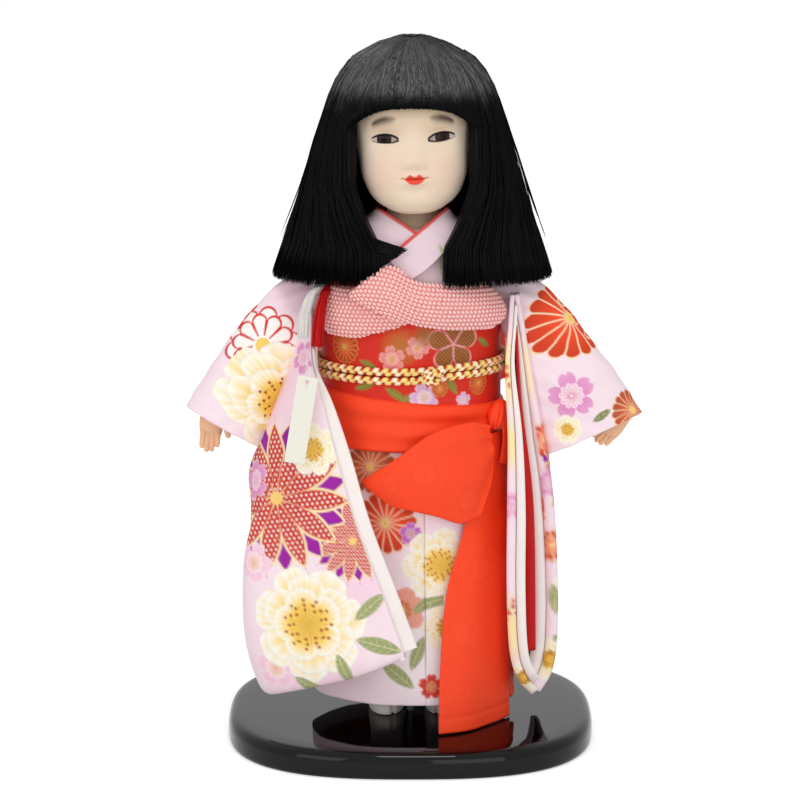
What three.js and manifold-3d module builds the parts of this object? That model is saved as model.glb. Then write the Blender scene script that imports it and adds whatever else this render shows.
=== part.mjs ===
// An ichimatsu doll in a furisode kimono, standing on a lacquered board.
// Millimetres, +Z up. The doll faces -Y. The origin is the middle of the board's underside.
import * as THREE from 'three';
import { mergeVertices } from 'three/addons/utils/BufferGeometryUtils.js';
import Module from 'manifold-3d';

const wasm = await Module();
wasm.setup();

// Clearances
const GAP = 0.4;
const JOINT_GAP = 0.5;

// The lacquered board, a rounded square with a bullnose edge
const STAND_WIDTH = 222;
const STAND_DEPTH = 200;
const STAND_HEIGHT = 16;
const STAND_SQUARENESS = 2.7;
const STAND_EDGE = 7;

// The support rod, its flange and the flange's screws
const POST_RADIUS = 2.5;
const POST_TOP = 158;
const FLANGE_RADIUS = 6.6;
const FLANGE_HEIGHT = 2.5;
const SCREW_COUNT = 3;
const SCREW_CIRCLE = 4.7;
const SCREW_RADIUS = 0.8;
const SCREW_HEAD_RADIUS = 1.3;
const SCREW_HEAD_HEIGHT = 1.2;
const SCREW_LENGTH = 8;

// Heights from here on are above the board's top
const TABI_HEIGHT = 28;
const LEG_TOP = 134;
const LEG_SPREAD = 20;
const LEG_RADIUS = 12;
const LEG_TAPER = 2;
const FOOT_LENGTH = 46;
const FOOT_HALF_WIDTH = 12;

// Half width and half depth of the torso, the bodice and the skirt, each given at a few heights
const TORSO = [
  [134, 36, 30], [159, 44, 35.5], [189, 45.5, 37], [219, 45.5, 37],
  [246, 45, 36.5], [269, 43, 34.5], [284, 37, 30], [293, 27, 22.5],
];
const BODICE = [
  [189, 48.5, 40], [246, 48.3, 39.6], [269, 46.5, 39], [284, 40, 38], [293, 32, 36], [299, 26, 33],
];
const SKIRT = [
  [183, 50, 42], [168, 51.5, 43.5], [134, 54, 45.5], [84, 57, 47.5], [44, 59.5, 49.5], [17, 61, 50.5],
];
const BODICE_WALL = 2.5;
const SKIRT_WALL = 2.2;
const SKIRT_SIDES = 36;
const SKIRT_FOLDS = 9;
const SKIRT_FOLD_DEPTH = 1.3;
const OVERLAP_FROM = 9;
const OVERLAP_TO = 58;
const OVERLAP_WALL = 1.4;
const UNDER_SKIRT_WALL = 1.6;
const UNDER_SKIRT_RISE = 5;
const UNDER_SKIRT_SPACE = 3;

// The obi, its back bow, and the sash wound under it
const OBI_BOTTOM = 184;
const OBI_TOP = 245;
const OBI_WALL = 5;
const BAND_BOTTOM = 168;
const BAND_TOP = 198;
const BAND_TILT = 5;
const BAND_WALL = 2.4;
const BOW_WIDTH = 104;
const BOW_HEIGHT = 62;
const BOW_DEPTH = 20;
const BOW_KNOT_WIDTH = 22;
const BOW_KNOT_DEPTH = 24;
const BOW_RISE = 38;
const TAIL_WIDTH = 40;
const TAIL_LENGTH = 70;
const TAIL_WALL = 4;

// The braided cords tied over the obi
const BRAID_RADIUS = 1.95;
const BRAID_HEIGHT = OBI_BOTTOM + 32.5;
const BRAID_SPREAD = 7;
const BRAID_KNOT_RADIUS = 4.6;
const BRAID_KNOT_ANGLE = 12;

// The neck and head: height, half width, front reach and back reach
const NECK_RADIUS = 11.5;
const NECK_Y = -2;
const NECK_BOTTOM = 278;
const SOCKET_TOP = 296;
const SOCKET_WALL = 2.4;
const HEAD = [
  [310.2, 8, 38, -20], [315, 18, 43.5, -8], [324, 27, 46, 4], [336, 32, 47, 16], [350, 34.2, 46, 30],
  [366, 36.5, 45.5, 36], [382, 34, 40, 34], [394, 25, 27, 24], [400.5, 8, 10, 8],
];
const HEAD_X = 2.2;
const HEAD_ROLL = 2.3;
const EYE_RADIUS = 6;
const EYE_SPREAD = 16.2;
const EYE_HEIGHT = 353.6;
const EYE_Y = -38.5;
const NOSE_HEIGHT = 338.5;
const NOSE_LENGTH = 7;

// The bobbed hair: height, half width, front reach and back reach
const HAIR = [
  [405, 20, 19, 20], [397, 34.5, 34, 34], [386, 43.5, 45, 43], [374, 49, 51, 48], [360, 53.5, 53, 52],
  [344, 58.5, 53.5, 55], [322, 64.5, 53, 58], [298, 72, 53, 61], [281, 78, 52.5, 63], [271, 82, 52, 64],
];
const HAIR_TOP = 409.5;
const HAIR_CROWN_RIM = 382;
const HAIR_THICKNESS = 8.5;
const HAIR_BOTTOM = 271;
const HAIR_SQUARENESS = 2.35;
const BANGS_ANGLE = 35.4;
const BANGS_EDGE = 371.3;
const BANGS_DROP = 8;
const BANGS_THICKNESS = 5;
const LOCK_TURN = [[271, 26], [281, 22], [290, 17.5], [316, 26], [342, 30], [361, 36.6]];
const BACK_ANGLE = 122;

// The arms: the peg in the shoulder, and the lines of arm and sleeve as x, y and drop below the shoulder
const SHOULDER_HEIGHT = 268;
const PEG_RADIUS = 5.5;
const PEG_DEPTH = 8;
const ARM_RADIUS = 7.4;
const ARM_LINE = [[54, 0, 2], [58, -2, 8], [71, -5, 24], [92, -9, 53], [106, -13, 78]];
const SLEEVE_LINE = [[58, -2, 8], [71, -5, 24], [92, -10, 55], [112, -14, 85.5]];
const SLEEVE_HALF_WIDTH = [11.5, 19, 24, 27];
const SLEEVE_HALF_DEPTH = [12, 15, 17, 16];
const SLEEVE_WALL = 1.6;
const CUFF_LINER_WALL = 1.2;
const CUFF_LINER_REACH = 1.2;
const CUFF_LINER_FROM = 3;
const PALM = [8.5, 5.2, 10];
const PALM_OUT = 5;
const PALM_FORWARD = 1.5;
const PALM_RISE = 2;
const FINGER_RADIUS = 2.1;
const FINGER_LENGTH = 13;
const FINGER_COUNT = 4;

// The right sleeve's hanging bag: turn about the body in degrees, distance off the sash, height
const RIGHT_BAG = [
  [[-56, 13, 222], [-60, 14, 222], [-64, 15, 220], [-70, 16, 217], [-76, 17, 214]],
  [[-43, 17.5, 199], [-50, 22, 197], [-57, 28, 194], [-68, 32, 188], [-78, 34, 181]],
  [[-33, 18.5, 160], [-43, 26, 158], [-57, 36, 156], [-69, 42, 154], [-79, 46, 152]],
  [[-24, 20.5, 128], [-38, 29, 126], [-58, 42, 125], [-70, 46, 124], [-80, 44, 124]],
  [[-13, 21.5, 92], [-32, 30, 89], [-57, 46, 86], [-69, 47, 86], [-80, 42, 86]],
  [[-5, 22, 62], [-27, 31, 55], [-54, 46, 50], [-67, 46, 50], [-79, 40, 52]],
  [[-2, 23, 50], [-23, 29, 38], [-50, 40, 24], [-63, 40, 20], [-75, 36, 26]],
];
const RIGHT_BAG_DEPTH = 8;
const RIGHT_BAG_WALL = 1.6;
const RIGHT_LINING_REACH = 5;
const RIGHT_LINING_COLUMNS = 5;
const BAG_ROWS = 10;
const BAG_COLUMNS = 7;
const LINING_FIRST_ROW = 3;

// The left sleeve's hanging bag, folded so that its open edge faces forward: off the sash, depth, height
const LEFT_BAG = [
  [
    [9.3, -28, 216], [10.3, -14, 216], [12.3, 2, 216], [17.3, 14, 216],
    [23.3, 2, 216], [23.8, -12, 216], [22, -26, 216],
  ],
  [
    [4.8, -38, 178], [7.3, -20, 178], [10.8, 4, 178], [18.3, 26, 178],
    [26.3, 6, 178], [26, -10, 178], [22.3, -26, 178],
  ],
  [
    [4.3, -42, 135], [7.3, -22, 135], [10.8, 6, 135], [19.3, 32, 135],
    [28.3, 8, 135], [30.3, -10, 135], [29, -26, 135],
  ],
  [
    [4.3, -44, 85], [7.3, -23, 85], [10.8, 6, 85], [19.3, 34, 85],
    [29.3, 8, 85], [32.3, -10, 85], [32.8, -26, 85],
  ],
  [
    [6.3, -44, 45], [9.3, -23, 45], [12.3, 5, 45], [19.8, 32, 45],
    [28.8, 8, 45], [32.3, -10, 45], [32.8, -27, 45],
  ],
  [
    [15, -41, 19], [15.5, -24, 17.5], [16.8, 4, 17], [20.3, 28, 18],
    [25.3, 8, 17], [27.3, -10, 17], [25.5, -31, 19],
  ],
];
const LEFT_BAG_WALL = 2.4;
const LINING_WALL = 1.4;
const LEFT_LINING_REACH = 4;
const LEFT_JUBAN = [
  [[15, -27, 196], [15.6, -10, 196], [16.2, 5, 196]],
  [[15, -30, 172], [16, -8, 172], [17, 10, 172]],
  [[16.5, -32, 120], [18, -8, 120], [18.6, 16, 120]],
  [[18.5, -33, 44], [19.2, -8, 44], [19.6, 16, 44]],
];
const LEFT_JUBAN_DEPTH = 6;

// The sash's loop and tails: turn about the body in degrees, distance off the sash, height
const SASH_LOOP = [
  [[-27.5, 6.15, 151.5], [-8, 8.15, 166.5], [11, 8.15, 181.5], [32, 7.65, 186.5], [47, 6.65, 183]],
  [[-23.5, 7.15, 147.5], [-4.5, 9.65, 154.5], [15, 9.65, 160.5], [34.5, 9.15, 160], [49, 7.65, 155]],
  [[-10.5, 6.65, 137.5], [0.5, 8.15, 135.5], [14, 8.65, 131.5], [27.5, 8.15, 126], [40, 7.15, 129.5]],
];
const SASH_LOOP_DEPTH = 5;
const LONG_TAIL = [
  [[38, 2.4, 176], [50, 2.4, 176], [62, 2.4, 176], [71, 2.4, 176]],
  [[36, 2.6, 148], [49, 2.6, 148], [61, 2.6, 148], [71, 2.6, 148]],
  [[31.5, 3.5, 122], [46, 4, 122], [60, 3.5, 122], [72, 3, 122]],
  [[20, 6, 85], [38, 7.5, 85], [56, 6, 85], [70, 4.5, 85]],
  [[15, 11, 40], [32, 12, 40], [50, 9.5, 40], [66, 7, 40]],
  [[13, 17, 0.8], [30, 16, 0.8], [48, 12, 0.8], [63, 9, 0.8]],
];
const SHORT_TAIL = [
  [[74, 1.6, 172], [78, 1.6, 172], [82, 1.6, 172]],
  [[74, 2.8, 90], [78, 2.8, 90], [82, 2.8, 90]],
  [[72, 6.6, 10], [77, 6.6, 8], [82, 6.6, 10]],
];
const TAIL_CLOTH = 2;
const SASH_KNOT_RADIUS = 9;
const SASH_KNOT_ANGLE = 59;
const SASH_KNOT_OFF = 5.5;
const SASH_KNOT_HEIGHT = 188;

// The dappled silk obiage: turn about the body, distance off the obi, height, half height
const OBIAGE_LEFT = [
  [-60, 5, 254, 10], [-52, 4.5, 254, 14], [-40, 4, 254, 14.5], [-20, 3.4, 255, 12.5], [0, 3, 256, 7],
];
const OBIAGE_RIGHT = [
  [-30, 1.5, 266, 4], [-23, 2.5, 266, 8], [-10, 4, 265, 15], [5, 6, 258, 12.5],
  [30, 5, 255, 13.5], [48, 5.5, 254, 12.5], [61, 6, 253, 9],
];
const OBIAGE_DEPTH = 5.5;
const OBIAGE_LEAN = 3;

// The collar bands from the nape to the breast, inner edge then outer edge
const COLLAR_LEFT = [
  [[-1, 19, 305], [-1, 26, 297]], [[16, 14, 306.5], [25, 17, 297.5]], [[21, -8, 307], [31.5, -9, 297]],
  [[20.5, -26, 307], [28.5, -31, 295.5]], [[9, -36, 300], [20, -41.5, 289]],
  [[-6, -41.5, 290], [8, -45.5, 277]], [[-13, -43, 282], [-1, -45.5, 271]],
];
const COLLAR_RIGHT = [
  [[-2.4, 19, 305], [-2.4, 26, 297]], [[-16, 14, 306.5], [-25, 17, 297.5]],
  [[-20, -8, 307], [-30.5, -9, 297]], [[-19, -26, 306.5], [-27.5, -31, 295]],
  [[-7, -35, 300], [-19, -41, 289]], [[3, -38, 293.5], [-9, -42, 281]],
];
const UNDER_COLLAR = [
  [[2.2, 17, 307], [2.2, 17, 300]], [[14.5, 12, 308], [15.5, 13, 300]], [[19.4, -6, 308.3], [20, -6, 300]],
  [[18, -24, 307.5], [18, -24, 298]], [[3, -34.5, 299.2], [3, -34, 290]],
];
const COLLAR_WALL = 1.6;
const COLLAR_STEPS = 12;
const UNDER_COLLAR_WALL = 1.2;

// The tassels and the blank tag
const TASSEL_CORD = [[-58, 4.2, 268.2], [-48, 3.8, 269.2], [-36, 3.6, 269.4], [-22, 3.4, 268.8]];
const TASSEL_CORD_RADIUS = 1.5;
const TASSEL_WHITE = [
  [-50.5, -27, 267.4, 1.4], [-58, -36, 259, 2.2], [-62, -41, 249, 2.6], [-63, -42.5, 238.5, 2.8],
];
const TASSEL_RED = [
  [-48, -30, 267, 1.6], [-52.5, -38.5, 258, 2.6], [-55, -43.5, 247, 3.4], [-55.8, -45.5, 234, 3.8],
];
const TAG_WIDTH = 12;
const TAG_LENGTH = 51;
const TAG_SHEET = 0.8;
const TAG_TOP = [-62, -55, 215.5];
const TAG_LEAN = -16;
const TAG_TILT = 6;
const TAG_HOLE_RADIUS = 1.2;
const TAG_HOLE_DROP = 3.2;
const THREAD_RADIUS = 0.5;
const THREAD_TOP = [-60.9, -37.75, 223.5];

// Colour, roughness and metalness of each finish
const FINISH = {
  lacquer: [0x0b0b0c, 0.08, 0], steel: [0xb8bcc0, 0.3, 1], composition: [0xb99a74, 0.8, 0],
  skin: [0xecdcc6, 0.45, 0], hand: [0xdeac80, 0.5, 0], eye: [0x2a1710, 0.05, 0], hair: [0x0c0c0d, 0.35, 0],
  print: [0xf6e2e9, 0.8, 0], lining: [0xfaf5f0, 0.85, 0], red_silk: [0xd83a22, 0.6, 0],
  sash: [0xfb4a24, 0.5, 0],
  brocade: [0xcd2319, 0.6, 0], dappled: [0xf5b9b4, 0.85, 0], braid: [0xf5e196, 0.7, 0],
  white_silk: [0xf4f0ea, 0.6, 0], paper: [0xeeecde, 0.9, 0], tabi: [0xf2efe8, 0.9, 0],
};

const radians = (degrees) => degrees * Math.PI / 180;
const vectorOf = (p) => new THREE.Vector3(...p);

// Half width and half depth of a profile at a height, straight between the rows of its table
function profile(table, z) {
  const rows = [...table].sort((p, q) => p[0] - q[0]);
  if (z <= rows[0][0]) return rows[0].slice(1);
  for (let i = 1; i < rows.length; i++) {
    if (z > rows[i][0]) continue;
    const t = (z - rows[i - 1][0]) / (rows[i][0] - rows[i - 1][0]);
    return rows[i].slice(1).map((value, k) => THREE.MathUtils.lerp(rows[i - 1][k + 1], value, t));
  }
  return rows.at(-1).slice(1);
}

// A closed ring of points at one height: an ellipse of half axes a and b, squared off by the power n
function oval(a, b, z, sides, n = 2) {
  return Array.from({ length: sides }, (_, i) => {
    const angle = 2 * Math.PI * i / sides;
    const s = Math.sin(angle);
    const c = Math.cos(angle);
    const x = a * Math.sign(s) * Math.abs(s) ** (2 / n);
    const y = -b * Math.sign(c) * Math.abs(c) ** (2 / n);
    return [x, y, z];
  });
}

// Turns vertices and triangles into a closed geometry whose faces point out
function closed(points, triangles) {
  const geometry = new THREE.BufferGeometry();
  geometry.setAttribute('position', new THREE.BufferAttribute(new Float32Array(points.flat()), 3));
  let volume = 0;
  const corners = points.map((p) => new THREE.Vector3(...p));
  for (const [i, j, k] of triangles) volume += corners[i].dot(corners[j].clone().cross(corners[k]));
  const outward = volume > 0 ? triangles : triangles.map(([i, j, k]) => [i, k, j]);
  geometry.setIndex(outward.flat());
  return geometry;
}

// A solid through rings of equal count, its two ends closed on a point inside the end ring
function loft(rings, ends = []) {
  const sides = rings[0].length;
  const points = rings.flat();
  const triangles = [];
  for (let r = 0; r + 1 < rings.length; r++) {
    for (let i = 0; i < sides; i++) {
      const j = (i + 1) % sides;
      const a = r * sides;
      const b = a + sides;
      triangles.push([a + i, a + j, b + j], [a + i, b + j, b + i]);
    }
  }
  [0, rings.length - 1].forEach((r, end) => {
    const ring = rings[r];
    const middle = ring[0].map((_, k) => ring.reduce((sum, p) => sum + p[k], 0) / sides);
    points.push(ends[end] ?? middle);
    for (let i = 0; i < sides; i++) {
      const pair = [r * sides + i, r * sides + (i + 1) % sides];
      triangles.push([points.length - 1, ...(end === 0 ? pair.reverse() : pair)]);
    }
  });
  return closed(points, triangles);
}

// A ring-shaped wall between an outer and an inner stack of rings
function wall(outer, inner) {
  const sides = outer[0].length;
  const loop = [...outer, ...[...inner].reverse()];
  const points = loop.flat();
  const triangles = [];
  for (let r = 0; r < loop.length; r++) {
    const a = r * sides;
    const b = ((r + 1) % loop.length) * sides;
    for (let i = 0; i < sides; i++) {
      const j = (i + 1) % sides;
      triangles.push([a + i, a + j, b + j], [a + i, b + j, b + i]);
    }
  }
  return closed(points, triangles);
}

// The closed wall of a garment that follows a profile between two heights
function garment(table, heights, thickness, sides, fold = () => 0) {
  const stack = (offset) => heights.map((z) => {
    const [a, b] = profile(table, z);
    return oval(1, 1, z, sides).map(([x, y], i) => {
      const out = offset + fold(2 * Math.PI * i / sides, z);
      return [x * (a + out), y * (b + out), z];
    });
  });
  return wall(stack(0), stack(-thickness));
}

// Smooth value between four neighbouring control values
function smooth(p0, p1, p2, p3, t) {
  const v0 = (p2 - p0) / 2;
  const v1 = (p3 - p1) / 2;
  return (2 * p1 - 2 * p2 + v0 + v1) * t ** 3 + (-3 * p1 + 3 * p2 - 2 * v0 - v1) * t ** 2 + v0 * t + p1;
}

// A row of control points resampled to a number of steps on a smooth curve
function curve(row, steps) {
  const last = row.length - 1;
  const at = (i) => {
    if (i < 0) return row[0].map((value, k) => 2 * value - row[1][k]);
    if (i > last) return row[last].map((value, k) => 2 * value - row[last - 1][k]);
    return row[i];
  };
  return Array.from({ length: steps + 1 }, (_, s) => {
    const u = last * s / steps;
    const i = Math.min(Math.floor(u), last - 1);
    return row[0].map((_, k) => smooth(at(i - 1)[k], at(i)[k], at(i + 1)[k], at(i + 2)[k], u - i));
  });
}

// A net of control points resampled to a grid of rows and columns
function patch(net, rows, columns) {
  const across = net.map((row) => curve(row, columns));
  const down = across[0].map((_, c) => curve(across.map((row) => row[c]), rows));
  return down[0].map((_, r) => down.map((column) => column[r]));
}

// The unit normals of a grid
function normals(grid) {
  const vector = (p, q) => new THREE.Vector3(q[0] - p[0], q[1] - p[1], q[2] - p[2]);
  return grid.map((row, r) => row.map((_, c) => {
    const along = vector(row[Math.max(c - 1, 0)], row[Math.min(c + 1, row.length - 1)]);
    const down = vector(grid[Math.max(r - 1, 0)][c], grid[Math.min(r + 1, grid.length - 1)][c]);
    return along.cross(down).normalize();
  }));
}

// A point moved along a direction
const pushed = (p, n, offset) => [p[0] + n.x * offset, p[1] + n.y * offset, p[2] + n.z * offset];

// A closed wall between two grids of equal rows and columns
function between(outer, inner) {
  const rows = outer.length;
  const columns = outer[0].length;
  const count = rows * columns;
  const points = [...outer.flat(), ...inner.flat()];
  const triangles = [];
  for (let r = 0; r + 1 < rows; r++) {
    for (let c = 0; c + 1 < columns; c++) {
      const [a, b] = [r * columns + c, (r + 1) * columns + c];
      triangles.push([a, a + 1, b + 1], [a, b + 1, b]);
      triangles.push([count + a, count + b + 1, count + a + 1], [count + a, count + b, count + b + 1]);
    }
  }
  const border = [];
  for (let c = 0; c + 1 < columns; c++) border.push(c);
  for (let r = 0; r + 1 < rows; r++) border.push(r * columns + columns - 1);
  for (let c = columns - 1; c > 0; c--) border.push((rows - 1) * columns + c);
  for (let r = rows - 1; r > 0; r--) border.push(r * columns);
  border.forEach((a, i) => {
    const b = border[(i + 1) % border.length];
    triangles.push([a, count + a, count + b], [a, count + b, b]);
  });
  return closed(points, triangles);
}

// A sheet of cloth over a grid, closed between two distances along the grid's normals
function sheet(grid, near, far) {
  const across = normals(grid);
  const layer = (offset) => grid.map((row, r) => row.map((p, c) => pushed(p, across[r][c], offset)));
  return between(layer(far), layer(near));
}

// Joining and cutting of closed solids
function solid(geometry) {
  const bare = geometry.clone();
  bare.deleteAttribute('normal');
  bare.deleteAttribute('uv');
  const merged = mergeVertices(bare, 1e-4);
  const vertProperties = merged.attributes.position.array;
  const triVerts = new Uint32Array(merged.index.array);
  return new wasm.Manifold(new wasm.Mesh({ numProp: 3, vertProperties, triVerts }));
}

function geometryOf(manifold) {
  const mesh = manifold.getMesh();
  const geometry = new THREE.BufferGeometry();
  geometry.setAttribute('position', new THREE.BufferAttribute(mesh.vertProperties, 3));
  geometry.setIndex(new THREE.BufferAttribute(mesh.triVerts, 1));
  return geometry;
}

function cut(body, ...tools) {
  return geometryOf(tools.reduce((left, tool) => left.subtract(solid(tool)), solid(body)));
}

const join = (...bodies) => geometryOf(bodies.map(solid).reduce((left, right) => left.add(right)));

// Of a cut piece, only its largest part
function largest(geometry) {
  const parts = solid(geometry).decompose();
  return geometryOf(parts.reduce((best, part) => (part.volume() > best.volume() ? part : best)));
}

// A rod of one radius along Z, or along X
function rod(radius, from, to, sides = 20) {
  const geometry = new THREE.CylinderGeometry(radius, radius, to - from, sides);
  return geometry.rotateX(Math.PI / 2).translate(0, 0, (from + to) / 2);
}
const rodX = (radius, from, to, sides = 20) => rod(radius, from, to, sides).rotateY(Math.PI / 2);

// A smooth tapering tube along points of x, y, z and radius
function strand(row, steps, sides) {
  const line = curve(row, steps);
  const rings = line.map((p, i) => {
    const next = line[Math.min(i + 1, steps)];
    const prev = line[Math.max(i - 1, 0)];
    const along = new THREE.Vector3(next[0] - prev[0], next[1] - prev[1], next[2] - prev[2]).normalize();
    const side = new THREE.Vector3(0, 1, 0).cross(along).normalize();
    const up = along.clone().cross(side);
    return Array.from({ length: sides }, (_, k) => {
      const angle = 2 * Math.PI * k / sides;
      const reach = side.clone().multiplyScalar(Math.cos(angle)).addScaledVector(up, Math.sin(angle));
      return [0, 1, 2].map((axis) => p[axis] + reach.getComponent(axis) * p[3]);
    });
  });
  return loft(rings);
}

// The sash's outer half axes, which the loop, the tails and the sleeves hang round
const [OBI_A, OBI_B] = profile(BODICE, OBI_BOTTOM).map((half) => half + GAP + OBI_WALL);
const BOW_SEAT = OBI_B + 2 * BRAID_RADIUS + 2 * GAP;
const BAND_A = OBI_A + GAP + BAND_WALL;
const BAND_B = OBI_B + GAP + BAND_WALL;

// A point at a turn about the body, a distance off the sash and a height
function around([turn, off, z], a = BAND_A, b = BAND_B) {
  return [(a + off) * Math.sin(radians(turn)), -(b + off) * Math.cos(radians(turn)), z];
}
const aroundNet = (net) => net.map((row) => row.map((point) => around(point)));
const besideNet = (net) => net.map((row) => row.map(([off, y, z]) => [BAND_A + off, y, z]));

// The board and the support rod
function standBase() {
  const edge = [[0, 3], [2, 0.8], [5, 0], [STAND_HEIGHT - 5.5, 0], [STAND_HEIGHT - 2.4, 1.5],
    [STAND_HEIGHT - 0.6, STAND_EDGE * 0.55], [STAND_HEIGHT, STAND_EDGE]];
  const rings = edge.map(([z, inset]) => {
    return oval(STAND_WIDTH / 2 - inset, STAND_DEPTH / 2 - inset, z, 36, STAND_SQUARENESS);
  });
  const fanPoint = [STAND_WIDTH / 12, STAND_DEPTH / 17];
  const board = loft(rings, [[...fanPoint, 0], [...fanPoint, STAND_HEIGHT]]);
  const holes = screwPlaces().map(([x, y]) => screwHole().translate(x, y, 0));
  return cut(board, ...holes);
}

function screwPlaces() {
  return Array.from({ length: SCREW_COUNT }, (_, i) => {
    const angle = 2 * Math.PI * i / SCREW_COUNT + Math.PI / 2;
    return [SCREW_CIRCLE * Math.cos(angle), SCREW_CIRCLE * Math.sin(angle)];
  });
}

const FLANGE_BOTTOM = STAND_HEIGHT;
const FLANGE_TOP = FLANGE_BOTTOM + FLANGE_HEIGHT;

function screwHole() {
  return rod(SCREW_RADIUS + GAP, FLANGE_TOP - SCREW_LENGTH - GAP, FLANGE_TOP + 1, 8);
}

function postFlange() {
  const bore = rod(POST_RADIUS + GAP, FLANGE_BOTTOM - 1, FLANGE_TOP + 1);
  const holes = screwPlaces().map(([x, y]) => screwHole().translate(x, y, 0));
  return cut(rod(FLANGE_RADIUS, FLANGE_BOTTOM, FLANGE_TOP, 20), bore, ...holes);
}

function flangeScrew() {
  const top = FLANGE_TOP + SCREW_HEAD_HEIGHT;
  const tip = FLANGE_TOP - SCREW_LENGTH;
  const shank = [[0, tip], [SCREW_RADIUS, tip + 1], [SCREW_RADIUS, FLANGE_TOP]];
  const outline = [...shank, [SCREW_HEAD_RADIUS, FLANGE_TOP], [SCREW_HEAD_RADIUS * 0.8, top - 0.3], [0, top]];
  return new THREE.LatheGeometry(outline.map(([r, z]) => new THREE.Vector2(r, z)), 8).rotateX(Math.PI / 2);
}

const supportPost = () => rod(POST_RADIUS, FLANGE_BOTTOM, STAND_HEIGHT + POST_TOP, 16);

// The torso with its bores for the rod, the neck and the shoulder pegs
function torso() {
  const rings = [...TORSO].map(([z, a, b]) => oval(a, b, z, 20));
  rings[0] = oval(TORSO[0][1], TORSO[0][2], LEG_TOP + GAP, 20);
  const postBore = rod(POST_RADIUS + GAP, LEG_TOP - 1, POST_TOP + 4);
  const neckBore = rod(NECK_RADIUS + JOINT_GAP + SOCKET_WALL + GAP, NECK_BOTTOM - 2, SOCKET_TOP + 9, 20);
  const pegBores = [-1, 1].map((side) => {
    const shoulder = profile(TORSO, SHOULDER_HEIGHT)[0];
    const bore = rodX(PEG_RADIUS + JOINT_GAP, shoulder - PEG_DEPTH - JOINT_GAP, shoulder + 9);
    return bore.scale(side, side, 1).translate(0, 0, SHOULDER_HEIGHT);
  });
  return cut(loft(rings), postBore, neckBore.translate(HEAD_X, NECK_Y, 0), ...pegBores);
}

function neckSocket() {
  const inner = NECK_RADIUS + JOINT_GAP;
  const ring = (radius, z) => oval(radius, radius, z, 20);
  const heights = [NECK_BOTTOM, SOCKET_TOP - GAP];
  const outer = heights.map((z) => ring(inner + SOCKET_WALL, z));
  return wall(outer, heights.map((z) => ring(inner, z))).translate(HEAD_X, NECK_Y, 0);
}

// Legs and the white socks at their feet
function leg(side) {
  const rings = [TABI_HEIGHT + GAP, (TABI_HEIGHT + LEG_TOP) / 2, LEG_TOP].map((z, i) => {
    const radius = LEG_RADIUS - LEG_TAPER * (1 - i / 2);
    return oval(radius, radius, z, 20).map(([x, y, h]) => [x + side * LEG_SPREAD, y, h]);
  });
  return loft(rings);
}

function tabi(side) {
  const heel = LEG_RADIUS;
  const reach = FOOT_LENGTH - heel;
  const rows = [[GAP, 1], [5, 1.04], [11, 0.9], [17, 0.62], [TABI_HEIGHT, 0.5]];
  const rings = rows.map(([z, share]) => oval(1, 1, z, 24).map(([x, y]) => {
    const front = y < 0 ? reach * share ** 1.6 : heel;
    const half = FOOT_HALF_WIDTH * (0.75 + share / 4);
    return [side * LEG_SPREAD + x * half, y * front, z];
  }));
  return loft(rings);
}

// Kimono: bodice, skirt, overlap and under-skirt
function skirtDrop(z) {
  const [top] = SKIRT[0];
  const [hem] = SKIRT.at(-1);
  return THREE.MathUtils.clamp((top - z) / (top - hem), 0, 1);
}

function skirtFold(angle, z) {
  return -SKIRT_FOLD_DEPTH * skirtDrop(z) * (0.5 + 0.5 * Math.cos(SKIRT_FOLDS * angle));
}

const skirtHeights = () => SKIRT.map(([z]) => z);
const kimonoSkirt = () => garment(SKIRT, skirtHeights(), SKIRT_WALL, SKIRT_SIDES, skirtFold);

function underSkirt() {
  const rows = SKIRT.map(([z, a, b]) => {
    const inset = SKIRT_WALL + GAP + (SKIRT_FOLD_DEPTH + UNDER_SKIRT_SPACE) * skirtDrop(z);
    return [z, a - inset, b - inset];
  });
  const heights = rows.map(([z], i) => (i === rows.length - 1 ? z + UNDER_SKIRT_RISE : z));
  return garment(rows, heights, UNDER_SKIRT_WALL, SKIRT_SIDES);
}

function kimonoOverlap() {
  const columns = 12;
  const heights = [BAND_BOTTOM - GAP, ...skirtHeights().slice(2)];
  const layer = (out) => heights.map((z) => Array.from({ length: columns + 1 }, (_, c) => {
    const angle = radians(OVERLAP_FROM + (OVERLAP_TO - OVERLAP_FROM) * c / columns);
    const [a, b] = profile(SKIRT, z);
    return [(a + out) * Math.sin(angle), -(b + out) * Math.cos(angle), z];
  }));
  return between(layer(GAP + OVERLAP_WALL), layer(GAP));
}

function bodiceShell(grow = 0) {
  const table = BODICE.map(([z, a, b]) => [z, a + grow, b + grow]);
  return garment(table, BODICE.map(([z]) => z), BODICE_WALL + 2 * grow, 24);
}

function kimonoBodice() {
  const shell = bodiceShell();
  const reach = BODICE[0][1] + 10;
  const armholes = rodX(PEG_RADIUS + JOINT_GAP, -reach, reach).translate(0, 0, SHOULDER_HEIGHT);
  return cut(shell, armholes);
}

// A collar band over its two edges
function collar(edges, grow = 0) {
  const widened = edges.map(([inner, outer]) => {
    const apart = vectorOf(outer).sub(vectorOf(inner)).normalize();
    return [pushed(inner, apart, -grow), pushed(outer, apart, grow)];
  });
  return sheet(patch(widened, COLLAR_STEPS, 2), -grow, COLLAR_WALL + grow);
}

// The left band crosses over the right one, and both end under the obiage
function leftCollar() {
  return largest(cut(collar(COLLAR_LEFT), bodiceShell(GAP), obiageLobe(OBIAGE_RIGHT, GAP)));
}

function rightCollar() {
  const band = cut(collar(COLLAR_RIGHT), collar(COLLAR_LEFT, GAP), bodiceShell(GAP));
  return largest(cut(band, obiageLobe(OBIAGE_RIGHT, GAP)));
}

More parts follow.
